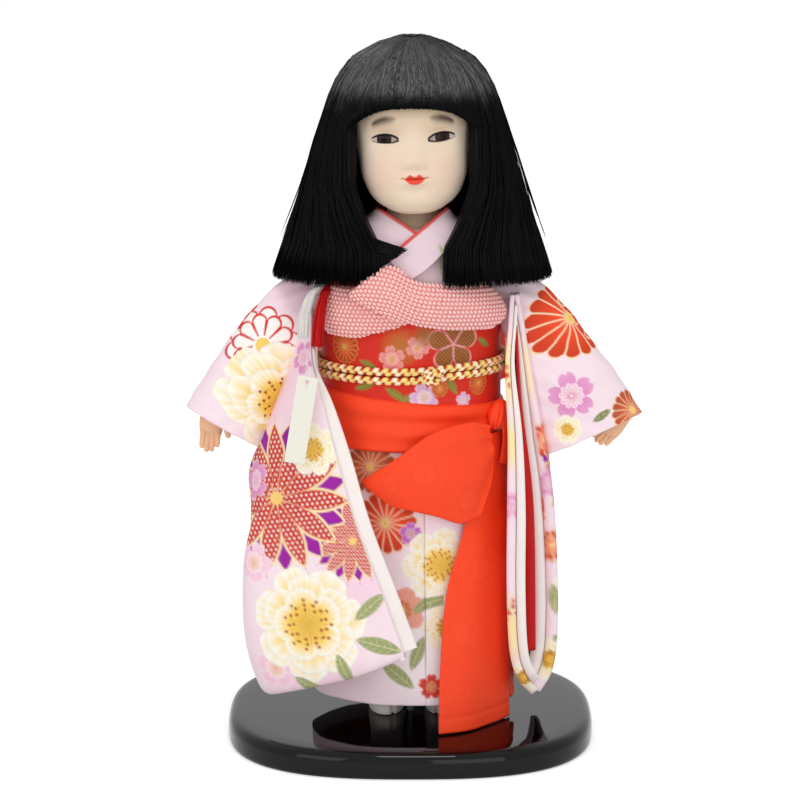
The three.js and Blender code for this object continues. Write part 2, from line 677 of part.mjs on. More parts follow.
// The under-collar runs round the neck to both sides of the breast
function underCollar() {
  const mirrored = ([x, y, z]) => [2 * HEAD_X - x, y, z];
  const rightSide = UNDER_COLLAR.slice(1).map(([top, foot]) => [mirrored(top), mirrored(foot)]).reverse();
  const band = sheet(patch([...rightSide, ...UNDER_COLLAR], 20, 1), 0, UNDER_COLLAR_WALL);
  return largest(cut(band, collar(COLLAR_LEFT, GAP), collar(COLLAR_RIGHT, GAP), bodiceShell(GAP)));
}

// The obi, its bow and what is tied over it
function obiWall(grow = 0) {
  const heights = [OBI_BOTTOM - grow, OBI_TOP + grow];
  const table = heights.map((z) => [z, OBI_A + grow, OBI_B + grow]);
  return garment(table, heights, OBI_WALL + 2 * grow, 24);
}

// The widest bodice, for cutting what lies on it
function bodiceCore(grow) {
  return loft(BODICE.map(([z, a, b]) => oval(a + grow, b + grow, z, 24)));
}

function obiCore() {
  return loft([OBI_BOTTOM - GAP, OBI_TOP + GAP].map((z) => oval(OBI_A + GAP, OBI_B + GAP, z, 24)));
}

function bowWing(side) {
  const middle = BOW_SEAT + BOW_DEPTH / 2;
  const height = OBI_BOTTOM + BOW_RISE;
  const rows = [
    [BOW_KNOT_WIDTH / 2 + GAP, 0.5, 0.75], [BOW_WIDTH * 0.3, 0.85, 1],
    [BOW_WIDTH * 0.44, 1, 1], [BOW_WIDTH / 2, 0.96, 0.6],
  ];
  const rings = rows.map(([x, tall, deep]) => oval(1, 1, 0, 20, 3).map(([u, v]) => {
    return [side * x, middle - v * deep * BOW_DEPTH / 2, height + u * tall * BOW_HEIGHT / 2];
  }));
  return loft(rings);
}

function bowKnot() {
  const middle = BOW_SEAT + BOW_KNOT_DEPTH / 2;
  const rings = [-1, -0.6, 0, 0.6, 1].map((share) => {
    const size = Math.sqrt(1 - 0.5 * share * share);
    const z = OBI_BOTTOM + BOW_RISE + share * BOW_HEIGHT * 0.27;
    const ring = oval(BOW_KNOT_WIDTH / 2, size * BOW_KNOT_DEPTH / 2, z, 20, 3);
    return ring.map(([x, y, h]) => [x, middle + y, h]);
  });
  return loft(rings);
}

function bowTail() {
  const top = OBI_BOTTOM + BOW_RISE - BOW_HEIGHT * 0.27 - GAP;
  const y = BAND_B + TAIL_WALL / 2 + 3;
  const rows = [0, 0.35, 0.7, 1].map((t) => [-1, -0.5, 0, 0.5, 1].map((u) => {
    return [u * TAIL_WIDTH / 2 * Math.min(0.6 + t, 1), y + 3 * t - 3 * u * u, top - t * TAIL_LENGTH];
  }));
  const grid = patch(rows, 5, 6);
  return cut(sheet(grid, -TAIL_WALL / 2, TAIL_WALL / 2), bandCore());
}

// One puffed lobe of the obiage, its foot lying over the obi's top edge
function obiageLobe(rows, grow = 0) {
  const line = curve(rows, 2 * (rows.length - 1));
  const rings = line.map(([turn, off, z, half]) => Array.from({ length: 10 }, (_, k) => {
    const angle = 2 * Math.PI * k / 10;
    const rise = Math.sin(angle);
    const out = off + (OBIAGE_DEPTH + grow) * Math.cos(angle) - OBIAGE_LEAN * rise;
    return around([turn, out, z + (half + grow) * rise], OBI_A, OBI_B);
  }));
  return loft(rings);
}

// A braided strand all round the obi, its two halves at their own heights
function braid(leftHeight, rightHeight) {
  const steps = 40;
  const sides = 6;
  const off = BRAID_RADIUS + GAP;
  const rings = Array.from({ length: steps }, (_, i) => {
    const turn = 360 * i / steps;
    const share = 0.5 + 0.5 * Math.tanh(Math.sin(radians(turn - BRAID_KNOT_ANGLE)) * 4);
    const z = THREE.MathUtils.lerp(leftHeight, rightHeight, share);
    return Array.from({ length: sides }, (_, k) => {
      const angle = 2 * Math.PI * k / sides;
      const place = [turn, off + BRAID_RADIUS * Math.cos(angle), z + BRAID_RADIUS * Math.sin(angle)];
      return around(place, OBI_A, OBI_B);
    });
  });
  const points = rings.flat();
  const triangles = [];
  for (let r = 0; r < steps; r++) {
    const a = r * sides;
    const b = ((r + 1) % steps) * sides;
    for (let k = 0; k < sides; k++) {
      const j = (k + 1) % sides;
      triangles.push([a + k, a + j, b + j], [a + k, b + j, b + k]);
    }
  }
  return closed(points, triangles);
}

function braidKnot() {
  const off = BRAID_RADIUS * 2 + GAP * 2 + BRAID_KNOT_RADIUS * 0.66;
  const [x, y] = around([BRAID_KNOT_ANGLE, off, 0], OBI_A, OBI_B);
  const ball = new THREE.SphereGeometry(BRAID_KNOT_RADIUS, 14, 9).scale(1.15, 0.8, 1);
  return ball.translate(x, y, BRAID_HEIGHT - BRAID_SPREAD / 4);
}

// The sash: a gathered band, its knot, its loop and its two tails
function sashBand() {
  const steps = 4;
  const sides = 28;
  const stack = (offset) => Array.from({ length: steps + 1 }, (_, r) => {
    const t = r / steps;
    return oval(1, 1, 0, sides).map(([x, y]) => {
      const top = BAND_TOP - BAND_TILT * x;
      const gather = -0.35 * BAND_WALL * (0.5 - 0.5 * Math.cos(2 * Math.PI * 2.5 * t));
      const out = offset === 0 ? gather : -BAND_WALL;
      return [x * (BAND_A + out), y * (BAND_B + out), BAND_BOTTOM + t * (top - BAND_BOTTOM)];
    });
  });
  return wall(stack(0), stack(1));
}

function bandCore() {
  const heights = [BAND_BOTTOM - GAP, BAND_TOP + BAND_TILT + GAP];
  return loft(heights.map((z) => oval(BAND_A + GAP, BAND_B + GAP, z, 28)));
}

function sashKnot() {
  const ball = new THREE.SphereGeometry(SASH_KNOT_RADIUS, 14, 9).scale(0.95, 0.8, 1.05);
  const place = around([SASH_KNOT_ANGLE, SASH_KNOT_OFF, SASH_KNOT_HEIGHT]);
  return cut(ball.rotateZ(radians(SASH_KNOT_ANGLE)).translate(...place), bandCore());
}

function sashLoop() {
  const grid = patch(aroundNet(SASH_LOOP), 6, 10);
  const half = SASH_LOOP_DEPTH / 2;
  return sheet(grid, -half, half);
}

function tailSheet(net, rows, columns) {
  return sheet(patch(aroundNet(net), rows, columns), -TAIL_CLOTH / 2, TAIL_CLOTH / 2);
}

// The tassels hang from a cord laid over the obiage
function tasselCord(grow = 0) {
  const row = TASSEL_CORD.map((point) => [...around(point, OBI_A, OBI_B), TASSEL_CORD_RADIUS + grow]);
  return strand(row, 6, 8);
}

function tassel(row) {
  return largest(cut(strand(row, 6, 10), tasselCord(GAP), obiageLobe(OBIAGE_LEFT, GAP)));
}

// Head, eyes and hair. The head leans a little, so what belongs to the face is rolled with it
function rolled(geometry) {
  const [chin] = HEAD[0];
  return geometry.translate(0, 0, -chin).rotateY(-radians(HEAD_ROLL)).translate(HEAD_X, 0, chin);
}

function headRing([z, a, front, back], grow, sides) {
  const middle = (back - front) / 2;
  return oval(a + grow, (front + back) / 2 + grow, z, sides, 2.15).map(([x, y]) => [x, y + middle, z]);
}

function headForm(grow = 0) {
  const rows = curve(HEAD, 11);
  const rings = rows.map((row) => headRing(row, grow, 22));
  rings[0] = rings[0].map(([x, y, z]) => [x, y, z - grow]);
  const top = rings.length - 1;
  rings[top] = rings[top].map(([x, y, z]) => [x, y, z + grow]);
  return loft(rings);
}

function eyeBall(side, grow = 0) {
  return new THREE.SphereGeometry(EYE_RADIUS + grow, 12, 8).translate(side * EYE_SPREAD, EYE_Y, EYE_HEIGHT);
}

function nose() {
  const front = profile(HEAD, NOSE_HEIGHT)[1];
  const form = new THREE.SphereGeometry(1, 10, 6).scale(5, 4, NOSE_LENGTH);
  return form.translate(0, -front + 1.2, NOSE_HEIGHT + 2);
}

function head() {
  const face = rolled(cut(join(headForm(), nose()), eyeBall(-1, GAP), eyeBall(1, GAP)));
  const neckTop = HEAD[3][0];
  const peg = rod(NECK_RADIUS, NECK_BOTTOM + JOINT_GAP, neckTop, 20).translate(HEAD_X, NECK_Y, 0);
  return join(face, peg);
}

function hairRing([z, a, front, back], inset, sides) {
  const middle = (back - front) / 2;
  const ring = oval(a - inset, (front + back) / 2 - inset, z, sides, HAIR_SQUARENESS);
  return ring.map(([x, y]) => [x + HEAD_X / 2, y + middle, z]);
}

function hairCrown() {
  const steps = 5;
  const heights = Array.from({ length: steps + 1 }, (_, i) => {
    return THREE.MathUtils.lerp(HAIR_CROWN_RIM, HAIR[0][0], i / steps);
  });
  const rows = heights.map((z) => [z, ...profile(HAIR, z)]);
  const rings = rows.map((row) => hairRing(row, 0, 28));
  return cut(loft(rings, [undefined, [HEAD_X / 2, 0, HAIR_TOP]]), rolled(headForm(GAP)));
}

// One lock of hair: the hair's wall between two turns about the head, from the crown to its cut edge
function hairLock(fromTurn, toTurn, edge, thickness, rows, columns) {
  const at = (turn, z, inset) => {
    const [a, front, back] = profile(HAIR, z);
    const s = Math.sin(radians(turn));
    const c = Math.cos(radians(turn));
    const share = 2 / HAIR_SQUARENESS;
    const depth = (front + back) / 2 - inset;
    const x = (a - inset) * Math.sign(s) * Math.abs(s) ** share;
    return [x + HEAD_X / 2, -depth * Math.sign(c) * Math.abs(c) ** share + (back - front) / 2, z];
  };
  const layer = (inset) => Array.from({ length: rows + 1 }, (_, r) => {
    return Array.from({ length: columns + 1 }, (_, c) => {
      const t = r / rows;
      const guess = HAIR_CROWN_RIM - GAP - t * (HAIR_CROWN_RIM - HAIR_BOTTOM);
      const turn = THREE.MathUtils.lerp(fromTurn(guess), toTurn(guess), c / columns);
      const top = HAIR_CROWN_RIM - GAP;
      return at(turn, top - t * (top - edge(turn)), inset);
    });
  });
  return between(layer(0), layer(thickness));
}

// Where the front lock starts beside the face, coming further in below the chin
const lockTurn = (z) => profile(LOCK_TURN, z)[0];

function hairSide(side) {
  const front = (z) => side * lockTurn(z);
  const lock = hairLock(front, () => side * BACK_ANGLE, () => HAIR_BOTTOM, HAIR_THICKNESS, 8, 10);
  return cut(lock, rolled(headForm(GAP)));
}

function hairBack() {
  const turn = BACK_ANGLE + 0.6;
  const lock = hairLock(() => turn, () => 360 - turn, () => HAIR_BOTTOM, HAIR_THICKNESS, 7, 10);
  return cut(lock, rolled(headForm(GAP)));
}

function hairBangs() {
  const edge = (turn) => BANGS_EDGE - BANGS_DROP * (turn / BANGS_ANGLE) ** 2;
  const lock = hairLock(() => -BANGS_ANGLE, () => BANGS_ANGLE, edge, BANGS_THICKNESS, 2, 12);
  return cut(lock, rolled(headForm(GAP)));
}

// Arms, hands and sleeves. The right side is the mirror of the left where both are alike
const limbLine = (row, side) => row.map(([x, y, drop]) => [side * x, y, SHOULDER_HEIGHT - drop]);

function limb(side, grow = 0) {
  const line = limbLine(ARM_LINE, side);
  const along = vectorOf(line.at(-1)).sub(vectorOf(line.at(-2))).normalize();
  line[line.length - 1] = pushed(line.at(-1), along, grow);
  return strand(line.map((p) => [...p, ARM_RADIUS + grow]), 8, 10);
}

function arm(side) {
  const shoulder = profile(TORSO, SHOULDER_HEIGHT)[0];
  const [reach] = ARM_LINE[0];
  const peg = rodX(PEG_RADIUS, shoulder - PEG_DEPTH, reach + 2).scale(side, side, 1);
  peg.translate(0, 0, SHOULDER_HEIGHT);
  return join(limb(side), peg);
}

function hand(side) {
  const wrist = limbLine(ARM_LINE, side).at(-1);
  const middle = [wrist[0] + side * PALM_OUT, wrist[1] - PALM_FORWARD, wrist[2] - PALM[2] + PALM_RISE];
  const palm = new THREE.SphereGeometry(1, 10, 6).scale(...PALM).rotateY(radians(-side * 20));
  palm.translate(...middle);
  const fingers = Array.from({ length: FINGER_COUNT }, (_, i) => {
    const x = (i - (FINGER_COUNT - 1) / 2) * FINGER_RADIUS * 1.7;
    const finger = new THREE.CapsuleGeometry(FINGER_RADIUS, FINGER_LENGTH, 1, 6).rotateX(Math.PI / 2);
    return finger.translate(x, -1, -FINGER_LENGTH / 2 - 4).rotateY(radians(side * -12)).translate(...middle);
  });
  const thumb = new THREE.CapsuleGeometry(FINGER_RADIUS, FINGER_LENGTH * 0.5, 1, 6).rotateX(Math.PI / 2);
  thumb.translate(0, -2, -4).rotateY(radians(side * 40)).translate(...middle).translate(-side * 6, 0, 0);
  return largest(cut(join(palm, ...fingers, thumb), limb(side, GAP)));
}

// A tube along the sleeve's line, flattened across the arm
function sleeveTube(side, shrink, reach = 0, first = 0) {
  const row = limbLine(SLEEVE_LINE, side).map((p, i) => [...p, SLEEVE_HALF_WIDTH[i], SLEEVE_HALF_DEPTH[i]]);
  const line = curve(row, 5);
  const rings = line.map((p, i) => {
    const next = line[Math.min(i + 1, line.length - 1)];
    const prev = line[Math.max(i - 1, 0)];
    const along = new THREE.Vector3(next[0] - prev[0], next[1] - prev[1], next[2] - prev[2]).normalize();
    const deep = new THREE.Vector3(0, 1, 0).addScaledVector(along, -along.y).normalize();
    const wide = along.clone().cross(deep);
    const slide = i === first ? -reach : i === line.length - 1 ? reach : 0;
    const middle = pushed(p, along, slide);
    return oval(p[3] - shrink, p[4] - shrink, 0, 14).map(([u, v]) => pushed(pushed(middle, wide, u), deep, v));
  });
  return loft(rings.slice(first));
}

const sleeveHollow = (side) => sleeveTube(side, SLEEVE_WALL, 3);

// The part of the body that a sleeve may not enter
const bodyCore = () => join(bodiceCore(GAP), bandCore(), obiCore());

// The right bag is one cloth folded at its outer edge, so its two skins meet there
function rightSleeve() {
  const grid = patch(aroundNet(RIGHT_BAG), BAG_ROWS, BAG_COLUMNS);
  const across = normals(grid);
  const skin = RIGHT_BAG_DEPTH / 2 - RIGHT_BAG_WALL / 2;
  const folded = grid.map((row, r) => {
    const layer = (offset) => row.map((p, c) => pushed(p, across[r][c], offset));
    return [...layer(skin), ...layer(-skin).reverse()];
  });
  const bag = sheet(folded, -RIGHT_BAG_WALL / 2, RIGHT_BAG_WALL / 2);
  return largest(cut(join(sleeveTube(-1, 0), bag), sleeveHollow(-1), bodyCore()));
}

// The white lining fills the fold and shows as a strip past the open edge
function rightLining() {
  const grid = patch(aroundNet(RIGHT_BAG), BAG_ROWS, BAG_COLUMNS).slice(LINING_FIRST_ROW, -1);
  const rows = grid.map((row) => {
    const away = new THREE.Vector3(...row[0]).sub(new THREE.Vector3(...row[1])).normalize();
    return [pushed(row[0], away, RIGHT_LINING_REACH), ...row.slice(0, RIGHT_LINING_COLUMNS)];
  });
  const half = RIGHT_BAG_DEPTH / 2 - RIGHT_BAG_WALL - GAP;
  return sheet(rows, -half, half);
}

const leftBagGrid = () => patch(besideNet(LEFT_BAG), BAG_ROWS, 2 * BAG_COLUMNS);

function leftSleeve() {
  const bag = sheet(leftBagGrid(), 0, LEFT_BAG_WALL);
  return largest(cut(join(sleeveTube(1, 0), bag), sleeveHollow(1), bodyCore()));
}

// The white lining lies inside the left bag and shows as a strip past both open edges
function leftLining() {
  const rows = leftBagGrid().slice(LINING_FIRST_ROW, -1).map((row) => {
    const past = (edge, next) => {
      const away = new THREE.Vector3(...edge).sub(new THREE.Vector3(...next)).normalize();
      return pushed(edge, away, LEFT_LINING_REACH);
    };
    return [past(row[0], row[1]), ...row, past(row.at(-1), row.at(-2))];
  });
  return sheet(rows, -GAP - LINING_WALL, -GAP);
}

function leftJuban() {
  const half = LEFT_JUBAN_DEPTH / 2;
  return largest(cut(sheet(patch(besideNet(LEFT_JUBAN), 6, 3), -half, half), sleeveTube(1, -GAP)));
}

// The red under-sleeve that shows inside each cuff
function cuffLiner(side) {
  const outer = sleeveTube(side, SLEEVE_WALL + GAP, CUFF_LINER_REACH, CUFF_LINER_FROM);
  const inner = sleeveTube(side, SLEEVE_WALL + GAP + CUFF_LINER_WALL, CUFF_LINER_REACH + 3, CUFF_LINER_FROM);
  return cut(outer, inner);
}

// The tag hangs on its thread, turned about the thread's knot
function paperTag() {
  const outline = new THREE.Shape();
  const half = TAG_WIDTH / 2;
  outline.moveTo(-half, -TAG_LENGTH);
  outline.lineTo(half, -TAG_LENGTH);
  outline.lineTo(half, 0);
  outline.lineTo(-half, 0);
  const hole = new THREE.Path();
  hole.absarc(0, -TAG_HOLE_DROP, TAG_HOLE_RADIUS, 0, 2 * Math.PI, true);
  outline.holes.push(hole);
  const shape = { depth: TAG_SHEET, bevelEnabled: false, curveSegments: 5 };
  const sheetOfPaper = new THREE.ExtrudeGeometry(outline, shape);
  const upright = sheetOfPaper.rotateX(Math.PI / 2).rotateY(radians(TAG_TILT)).rotateX(radians(TAG_LEAN));
  return upright.translate(...TAG_TOP);
}

function tagThread() {
  const end = new THREE.Vector3(0, THREAD_RADIUS + GAP, -TAG_HOLE_DROP);
  end.applyAxisAngle(new THREE.Vector3(0, 1, 0), radians(TAG_TILT));
  end.applyAxisAngle(new THREE.Vector3(1, 0, 0), radians(TAG_LEAN)).add(new THREE.Vector3(...TAG_TOP));
  const middle = vectorOf(THREAD_TOP).lerp(end, 0.5).add(new THREE.Vector3(0, -1, 0));
  const row = [vectorOf(THREAD_TOP), middle, end].map((p) => [p.x, p.y, p.z, THREAD_RADIUS]);
  return strand(row, 4, 8);
}

// The assembly
const materials = Object.fromEntries(Object.entries(FINISH).map(([name, [color, roughness, metalness]]) => {
  return [name, new THREE.MeshStandardMaterial({ color, roughness, metalness })];
}));

function piece(name, geometry, finish) {
  const mesh = new THREE.Mesh(geometry, materials[finish]);
  mesh.name = name;
  return mesh;
}

const stand = new THREE.Group();
stand.add(piece('stand_base', standBase(), 'lacquer'));
stand.add(piece('support_post', supportPost(), 'steel'));
stand.add(piece('post_flange', postFlange(), 'steel'));
screwPlaces().forEach(([x, y], i) => {
  stand.add(piece(`flange_screw_${i + 1}`, flangeScrew().translate(x, y, 0), 'steel'));
});

const doll = new THREE.Group();
doll.position.z = STAND_HEIGHT;
doll.add(piece('torso', torso(), 'composition'));
doll.add(piece('neck_socket', neckSocket(), 'composition'));
for (const [name, side] of [['right', -1], ['left', 1]]) {
  doll.add(piece(`${name}_leg`, leg(side), 'skin'));
  doll.add(piece(`${name}_tabi`, tabi(side), 'tabi'));
}
doll.add(piece('kimono_bodice', kimonoBodice(), 'print'));
doll.add(piece('kimono_skirt', kimonoSkirt(), 'print'));
doll.add(piece('kimono_overlap', kimonoOverlap(), 'print'));
doll.add(piece('under_skirt', underSkirt(), 'red_silk'));
doll.add(piece('collar_left', leftCollar(), 'print'));
doll.add(piece('collar_right', rightCollar(), 'print'));
doll.add(piece('under_collar', underCollar(), 'red_silk'));
doll.add(piece('obi', obiWall(), 'brocade'));
doll.add(piece('obi_bow_left', bowWing(1), 'brocade'));
doll.add(piece('obi_bow_right', bowWing(-1), 'brocade'));
doll.add(piece('obi_bow_knot', bowKnot(), 'brocade'));
doll.add(piece('obi_bow_tail', bowTail(), 'brocade'));
doll.add(piece('obiage_right', cut(obiageLobe(OBIAGE_RIGHT), obiCore(), bodiceCore(GAP)), 'dappled'));
const leftLobe = cut(obiageLobe(OBIAGE_LEFT), obiCore(), bodiceCore(GAP), obiageLobe(OBIAGE_RIGHT, GAP));
doll.add(piece('obiage_left', largest(leftLobe), 'dappled'));
doll.add(piece('obijime_upper', braid(BRAID_HEIGHT, BRAID_HEIGHT + BRAID_RADIUS), 'braid'));
const lowerRight = BRAID_HEIGHT - BRAID_RADIUS - GAP;
doll.add(piece('obijime_lower', braid(BRAID_HEIGHT - BRAID_SPREAD, lowerRight), 'braid'));
doll.add(piece('obijime_knot', braidKnot(), 'braid'));
doll.add(piece('shigoki_band', sashBand(), 'sash'));
doll.add(piece('shigoki_knot', sashKnot(), 'sash'));
doll.add(piece('shigoki_loop', sashLoop(), 'sash'));
doll.add(piece('shigoki_long_tail', tailSheet(LONG_TAIL, 10, 9), 'sash'));
doll.add(piece('shigoki_short_tail', tailSheet(SHORT_TAIL, 6, 3), 'sash'));
const restingCord = largest(cut(tasselCord(), obiageLobe(OBIAGE_LEFT, GAP), obiageLobe(OBIAGE_RIGHT, GAP)));
doll.add(piece('tassel_cord', restingCord, 'red_silk'));
doll.add(piece('tassel_white', tassel(TASSEL_WHITE), 'white_silk'));
doll.add(piece('tassel_red', tassel(TASSEL_RED), 'red_silk'));

doll.add(piece('head', head(), 'skin'));
doll.add(piece('right_eye', rolled(eyeBall(-1)), 'eye'));
doll.add(piece('left_eye', rolled(eyeBall(1)), 'eye'));
doll.add(piece('hair_crown', hairCrown(), 'hair'));
doll.add(piece('hair_bangs', hairBangs(), 'hair'));
doll.add(piece('hair_right', hairSide(-1), 'hair'));
doll.add(piece('hair_left', hairSide(1), 'hair'));
doll.add(piece('hair_back', hairBack(), 'hair'));

for (const [name, side] of [['right', -1], ['left', 1]]) {
  doll.add(piece(`${name}_arm`, arm(side), 'composition'));
  doll.add(piece(`${name}_hand`, hand(side), 'hand'));
  doll.add(piece(`${name}_cuff_liner`, cuffLiner(side), 'red_silk'));
}
doll.add(piece('right_sleeve', rightSleeve(), 'print'));
doll.add(piece('right_sleeve_lining', rightLining(), 'lining'));
doll.add(piece('left_sleeve', leftSleeve(), 'print'));
doll.add(piece('left_sleeve_lining', leftLining(), 'lining'));
doll.add(piece('left_juban_sleeve', leftJuban(), 'red_silk'));
doll.add(piece('tag_thread', tagThread(), 'white_silk'));
doll.add(piece('paper_tag', paperTag(), 'paper'));

const ichimatsuDoll = new THREE.Group();
ichimatsuDoll.name = 'ichimatsu_doll';
ichimatsuDoll.add(stand, doll);

export default ichimatsuDoll;
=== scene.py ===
"""Looks of the ichimatsu doll: printed silk, braids, hair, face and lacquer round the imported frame.

Lengths are millimetres until a mesh is written. Doll heights are above the board's top.
"""

import logging
import math
from collections.abc import Callable, Iterable, Sequence
from dataclasses import dataclass, field, replace
from enum import Enum
from typing import ClassVar

import bmesh
import bpy
import numpy as np
from numpy.typing import NDArray
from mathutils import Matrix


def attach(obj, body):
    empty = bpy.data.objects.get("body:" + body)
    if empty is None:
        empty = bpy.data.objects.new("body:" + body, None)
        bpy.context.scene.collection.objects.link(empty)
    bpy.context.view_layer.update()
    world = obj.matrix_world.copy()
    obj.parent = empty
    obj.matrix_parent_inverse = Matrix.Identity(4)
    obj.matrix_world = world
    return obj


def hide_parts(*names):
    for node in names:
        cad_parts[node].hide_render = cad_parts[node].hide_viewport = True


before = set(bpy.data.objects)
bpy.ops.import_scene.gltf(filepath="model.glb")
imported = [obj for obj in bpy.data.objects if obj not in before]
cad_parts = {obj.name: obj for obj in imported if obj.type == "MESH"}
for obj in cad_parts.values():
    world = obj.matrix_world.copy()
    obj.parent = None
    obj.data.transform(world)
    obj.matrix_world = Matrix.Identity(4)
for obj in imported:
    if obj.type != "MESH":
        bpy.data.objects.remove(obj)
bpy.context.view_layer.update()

Points = NDArray[np.float64]
Triple = tuple[float, float, float]
Net = tuple[tuple[tuple[float, ...], ...], ...]
Table = tuple[tuple[float, ...], ...]
Turning = Callable[[Points, Points], Points]
LOG = logging.getLogger("ichimatsu_doll")
MM = 0.001
STAND_HEIGHT = 16.0
OBI_HALF = (53.9, 45.4)
BAND_HALF = (56.7, 48.2)
CAP = 5
TINY = 1e-9
WELD = 2e-6
BACKWARD = np.array((0, 1.0, 0))
UPWARD = np.array((0, 0, 1.0))
TINT = "tint"
SIDES = (("right", -1), ("left", 1))


def linear(red: float, green: float, blue: float) -> Points:
    """Linear colour of a display colour given from 0 to 255."""
    share = np.array((red, green, blue)) / 255
    return np.where(share <= 0.04045, share / 12.92, ((share + 0.055) / 1.055) ** 2.4)


def shares(count: int) -> Points:
    """Even places from 0 to 1."""
    return np.linspace(0, 1, count)


def whole_turn(count: int) -> Points:
    """Even angles of one whole turn, its end left out."""
    return np.linspace(0, 2 * np.pi, count, endpoint=False)


def closer_in_front(half: float, front: int, back: int, ends: bool = False) -> Points:
    """Angles of one turn, even within a half angle in front and even, but apart, behind it.

    Args:
        half: Half of the front's angle.
        front: Number of angles in front.
        back: Number of angles behind.
        ends: True if both spans hold their ends, of which the back's are then left out.
    Returns:
        The angles from one end of the front all the way round.
    """
    near = np.linspace(-half, half, front, endpoint=ends)
    far = np.linspace(half, 2 * np.pi - half, back, endpoint=ends)
    return np.concatenate([near, far[1:-1] if ends else far])


def unit(vectors: Points) -> Points:
    """Vectors of length 1 along the same ways."""
    return vectors / np.maximum(np.linalg.norm(vectors, axis=-1, keepdims=True), TINY)


def run(path: Points) -> Points:
    """Length along a path at each of its points."""
    return np.concatenate([[0], np.cumsum(np.linalg.norm(np.diff(path, axis=0), axis=1))])


def joined(*arrays: Points, axis: int = 0) -> Points:
    """Arrays one after the other along an axis."""
    return np.concatenate(arrays, axis)


def spun(x: Points, y: Points, degrees: float) -> tuple[Points, Points]:
    """Two coordinates turned by an angle in degrees."""
    c, s = math.cos(math.radians(degrees)), math.sin(math.radians(degrees))
    return x * c - y * s, x * s + y * c


def stacked(*columns: Points | float) -> Points:
    """Points from coordinates, each spread to the shape of all."""
    return np.stack(np.broadcast_arrays(*columns), -1)


def sides_of(along: Points) -> tuple[Points, Points]:
    """Unit vectors across a way: one as near to the back as can be, and one beside it."""
    deep = unit(BACKWARD - along * along[:, 1:2])
    return deep, np.cross(along, deep)


def blend(low: Points, high: Points, share: Points) -> Points:
    """Colours between two colours, one for each value of share."""
    return low + (high - low) * np.asarray(share)[..., None]


def smoothstep(value: Points, low: float, high: float) -> Points:
    """Smooth rise from 0 at low to 1 at high."""
    t = np.clip((value - low) / (high - low), 0, 1)
    return t * t * (3 - 2 * t)


def bell(x: Points, middle: float, width: float) -> Points:
    """Gaussian bump of height 1."""
    return np.exp(-((x - middle) / width) ** 2)


def ripple(points: Points, length: float, seed: float = 0.0) -> Points:
    """Smooth irregular value from -1 to 1: the mean of three sine waves in skew directions.

    Args:
        points: Places of the last axis x, y, z.
        length: Length of one wave.
        seed: Shift of the waves.
    Returns:
        One value for each place.
    """
    p = points * (2 * np.pi / length)
    first = np.sin(p @ np.array((0.9, 0.3, 0.4)) + seed)
    second = np.sin(p @ np.array((-0.5, 0.7, 0.8)) + 1.7 * seed + 1)
    third = np.sin(p @ np.array((0.3, -0.8, 1.1)) + 2.3 * seed + 2)
    return (first + second + third) / 3


def curve(row: Points, at: Points) -> Points:
    """Points on a smooth curve through control points, each span a cubic with central slopes.

    Args:
        row: Control points along the first axis.
        at: Places along the curve from 0 to 1.
    Returns:
        One point for each place.
    """
    row = np.asarray(row, float)
    ends = joined(2 * row[:1] - row[1:2], row, 2 * row[-1:] - row[-2:-1])
    u = np.asarray(at) * (len(row) - 1)
    i = np.minimum(u.astype(int), len(row) - 2)
    t = (u - i).reshape(-1, *[1] * (row.ndim - 1))
    p0, p1, p2, p3 = ends[i], ends[i + 1], ends[i + 2], ends[i + 3]
    v0, v1 = (p2 - p0) / 2, (p3 - p1) / 2
    return (2 * p1 - 2 * p2 + v0 + v1) * t**3 + (3 * p2 - 3 * p1 - 2 * v0 - v1) * t**2 + v0 * t + p1


def patch(net: Points, down: Points, across: Points) -> Points:
    """Grid of points on a smooth surface through a net of control points.

    Args:
        net: Control points of rows, columns and coordinates.
        down: Places along the rows from 0 to 1.
        across: Places along the columns from 0 to 1.
    Returns:
        Array of rows, columns and coordinates.
    """
    wide = np.swapaxes(curve(np.swapaxes(np.asarray(net, float), 0, 1), across), 0, 1)
    return curve(wide, down)


def around(place: Points, half: tuple[float, float] = BAND_HALF) -> Points:
    """Points at a turn about the body in degrees, a distance off an oval and a height.

    Args:
        place: Array whose last axis is turn, distance, height.
        half: Half width and half depth of the oval.
    Returns:
        Array of the same shape with x, y, z.
    """
    place = np.asarray(place, float)
    turn = np.radians(place[..., 0])
    x = (half[0] + place[..., 1]) * np.sin(turn)
    y = -(half[1] + place[..., 1]) * np.cos(turn)
    return np.stack([x, y, place[..., 2]], axis=-1)


def profile(table: Sequence[Sequence[float]], z: Points) -> Points:
    """Columns of a table of heights, read at other heights along a smooth curve.

    Args:
        table: Rows of height and values, from high to low or low to high.
        z: Heights.
    Returns:
        Array of one row of values for each height.
    """
    rows = np.array(sorted(table), float)
    place = np.interp(np.ravel(z), rows[:, 0], shares(len(rows)))
    return curve(rows[:, 1:], place)


def oval(angle: Points, power: float) -> tuple[Points, Points]:
    """Unit oval from the front round by the doll's left: sine and cosine raised to 2 / power."""
    s, c = np.sin(angle), np.cos(angle)
    return np.sign(s) * np.abs(s) ** (2 / power), -np.sign(c) * np.abs(c) ** (2 / power)


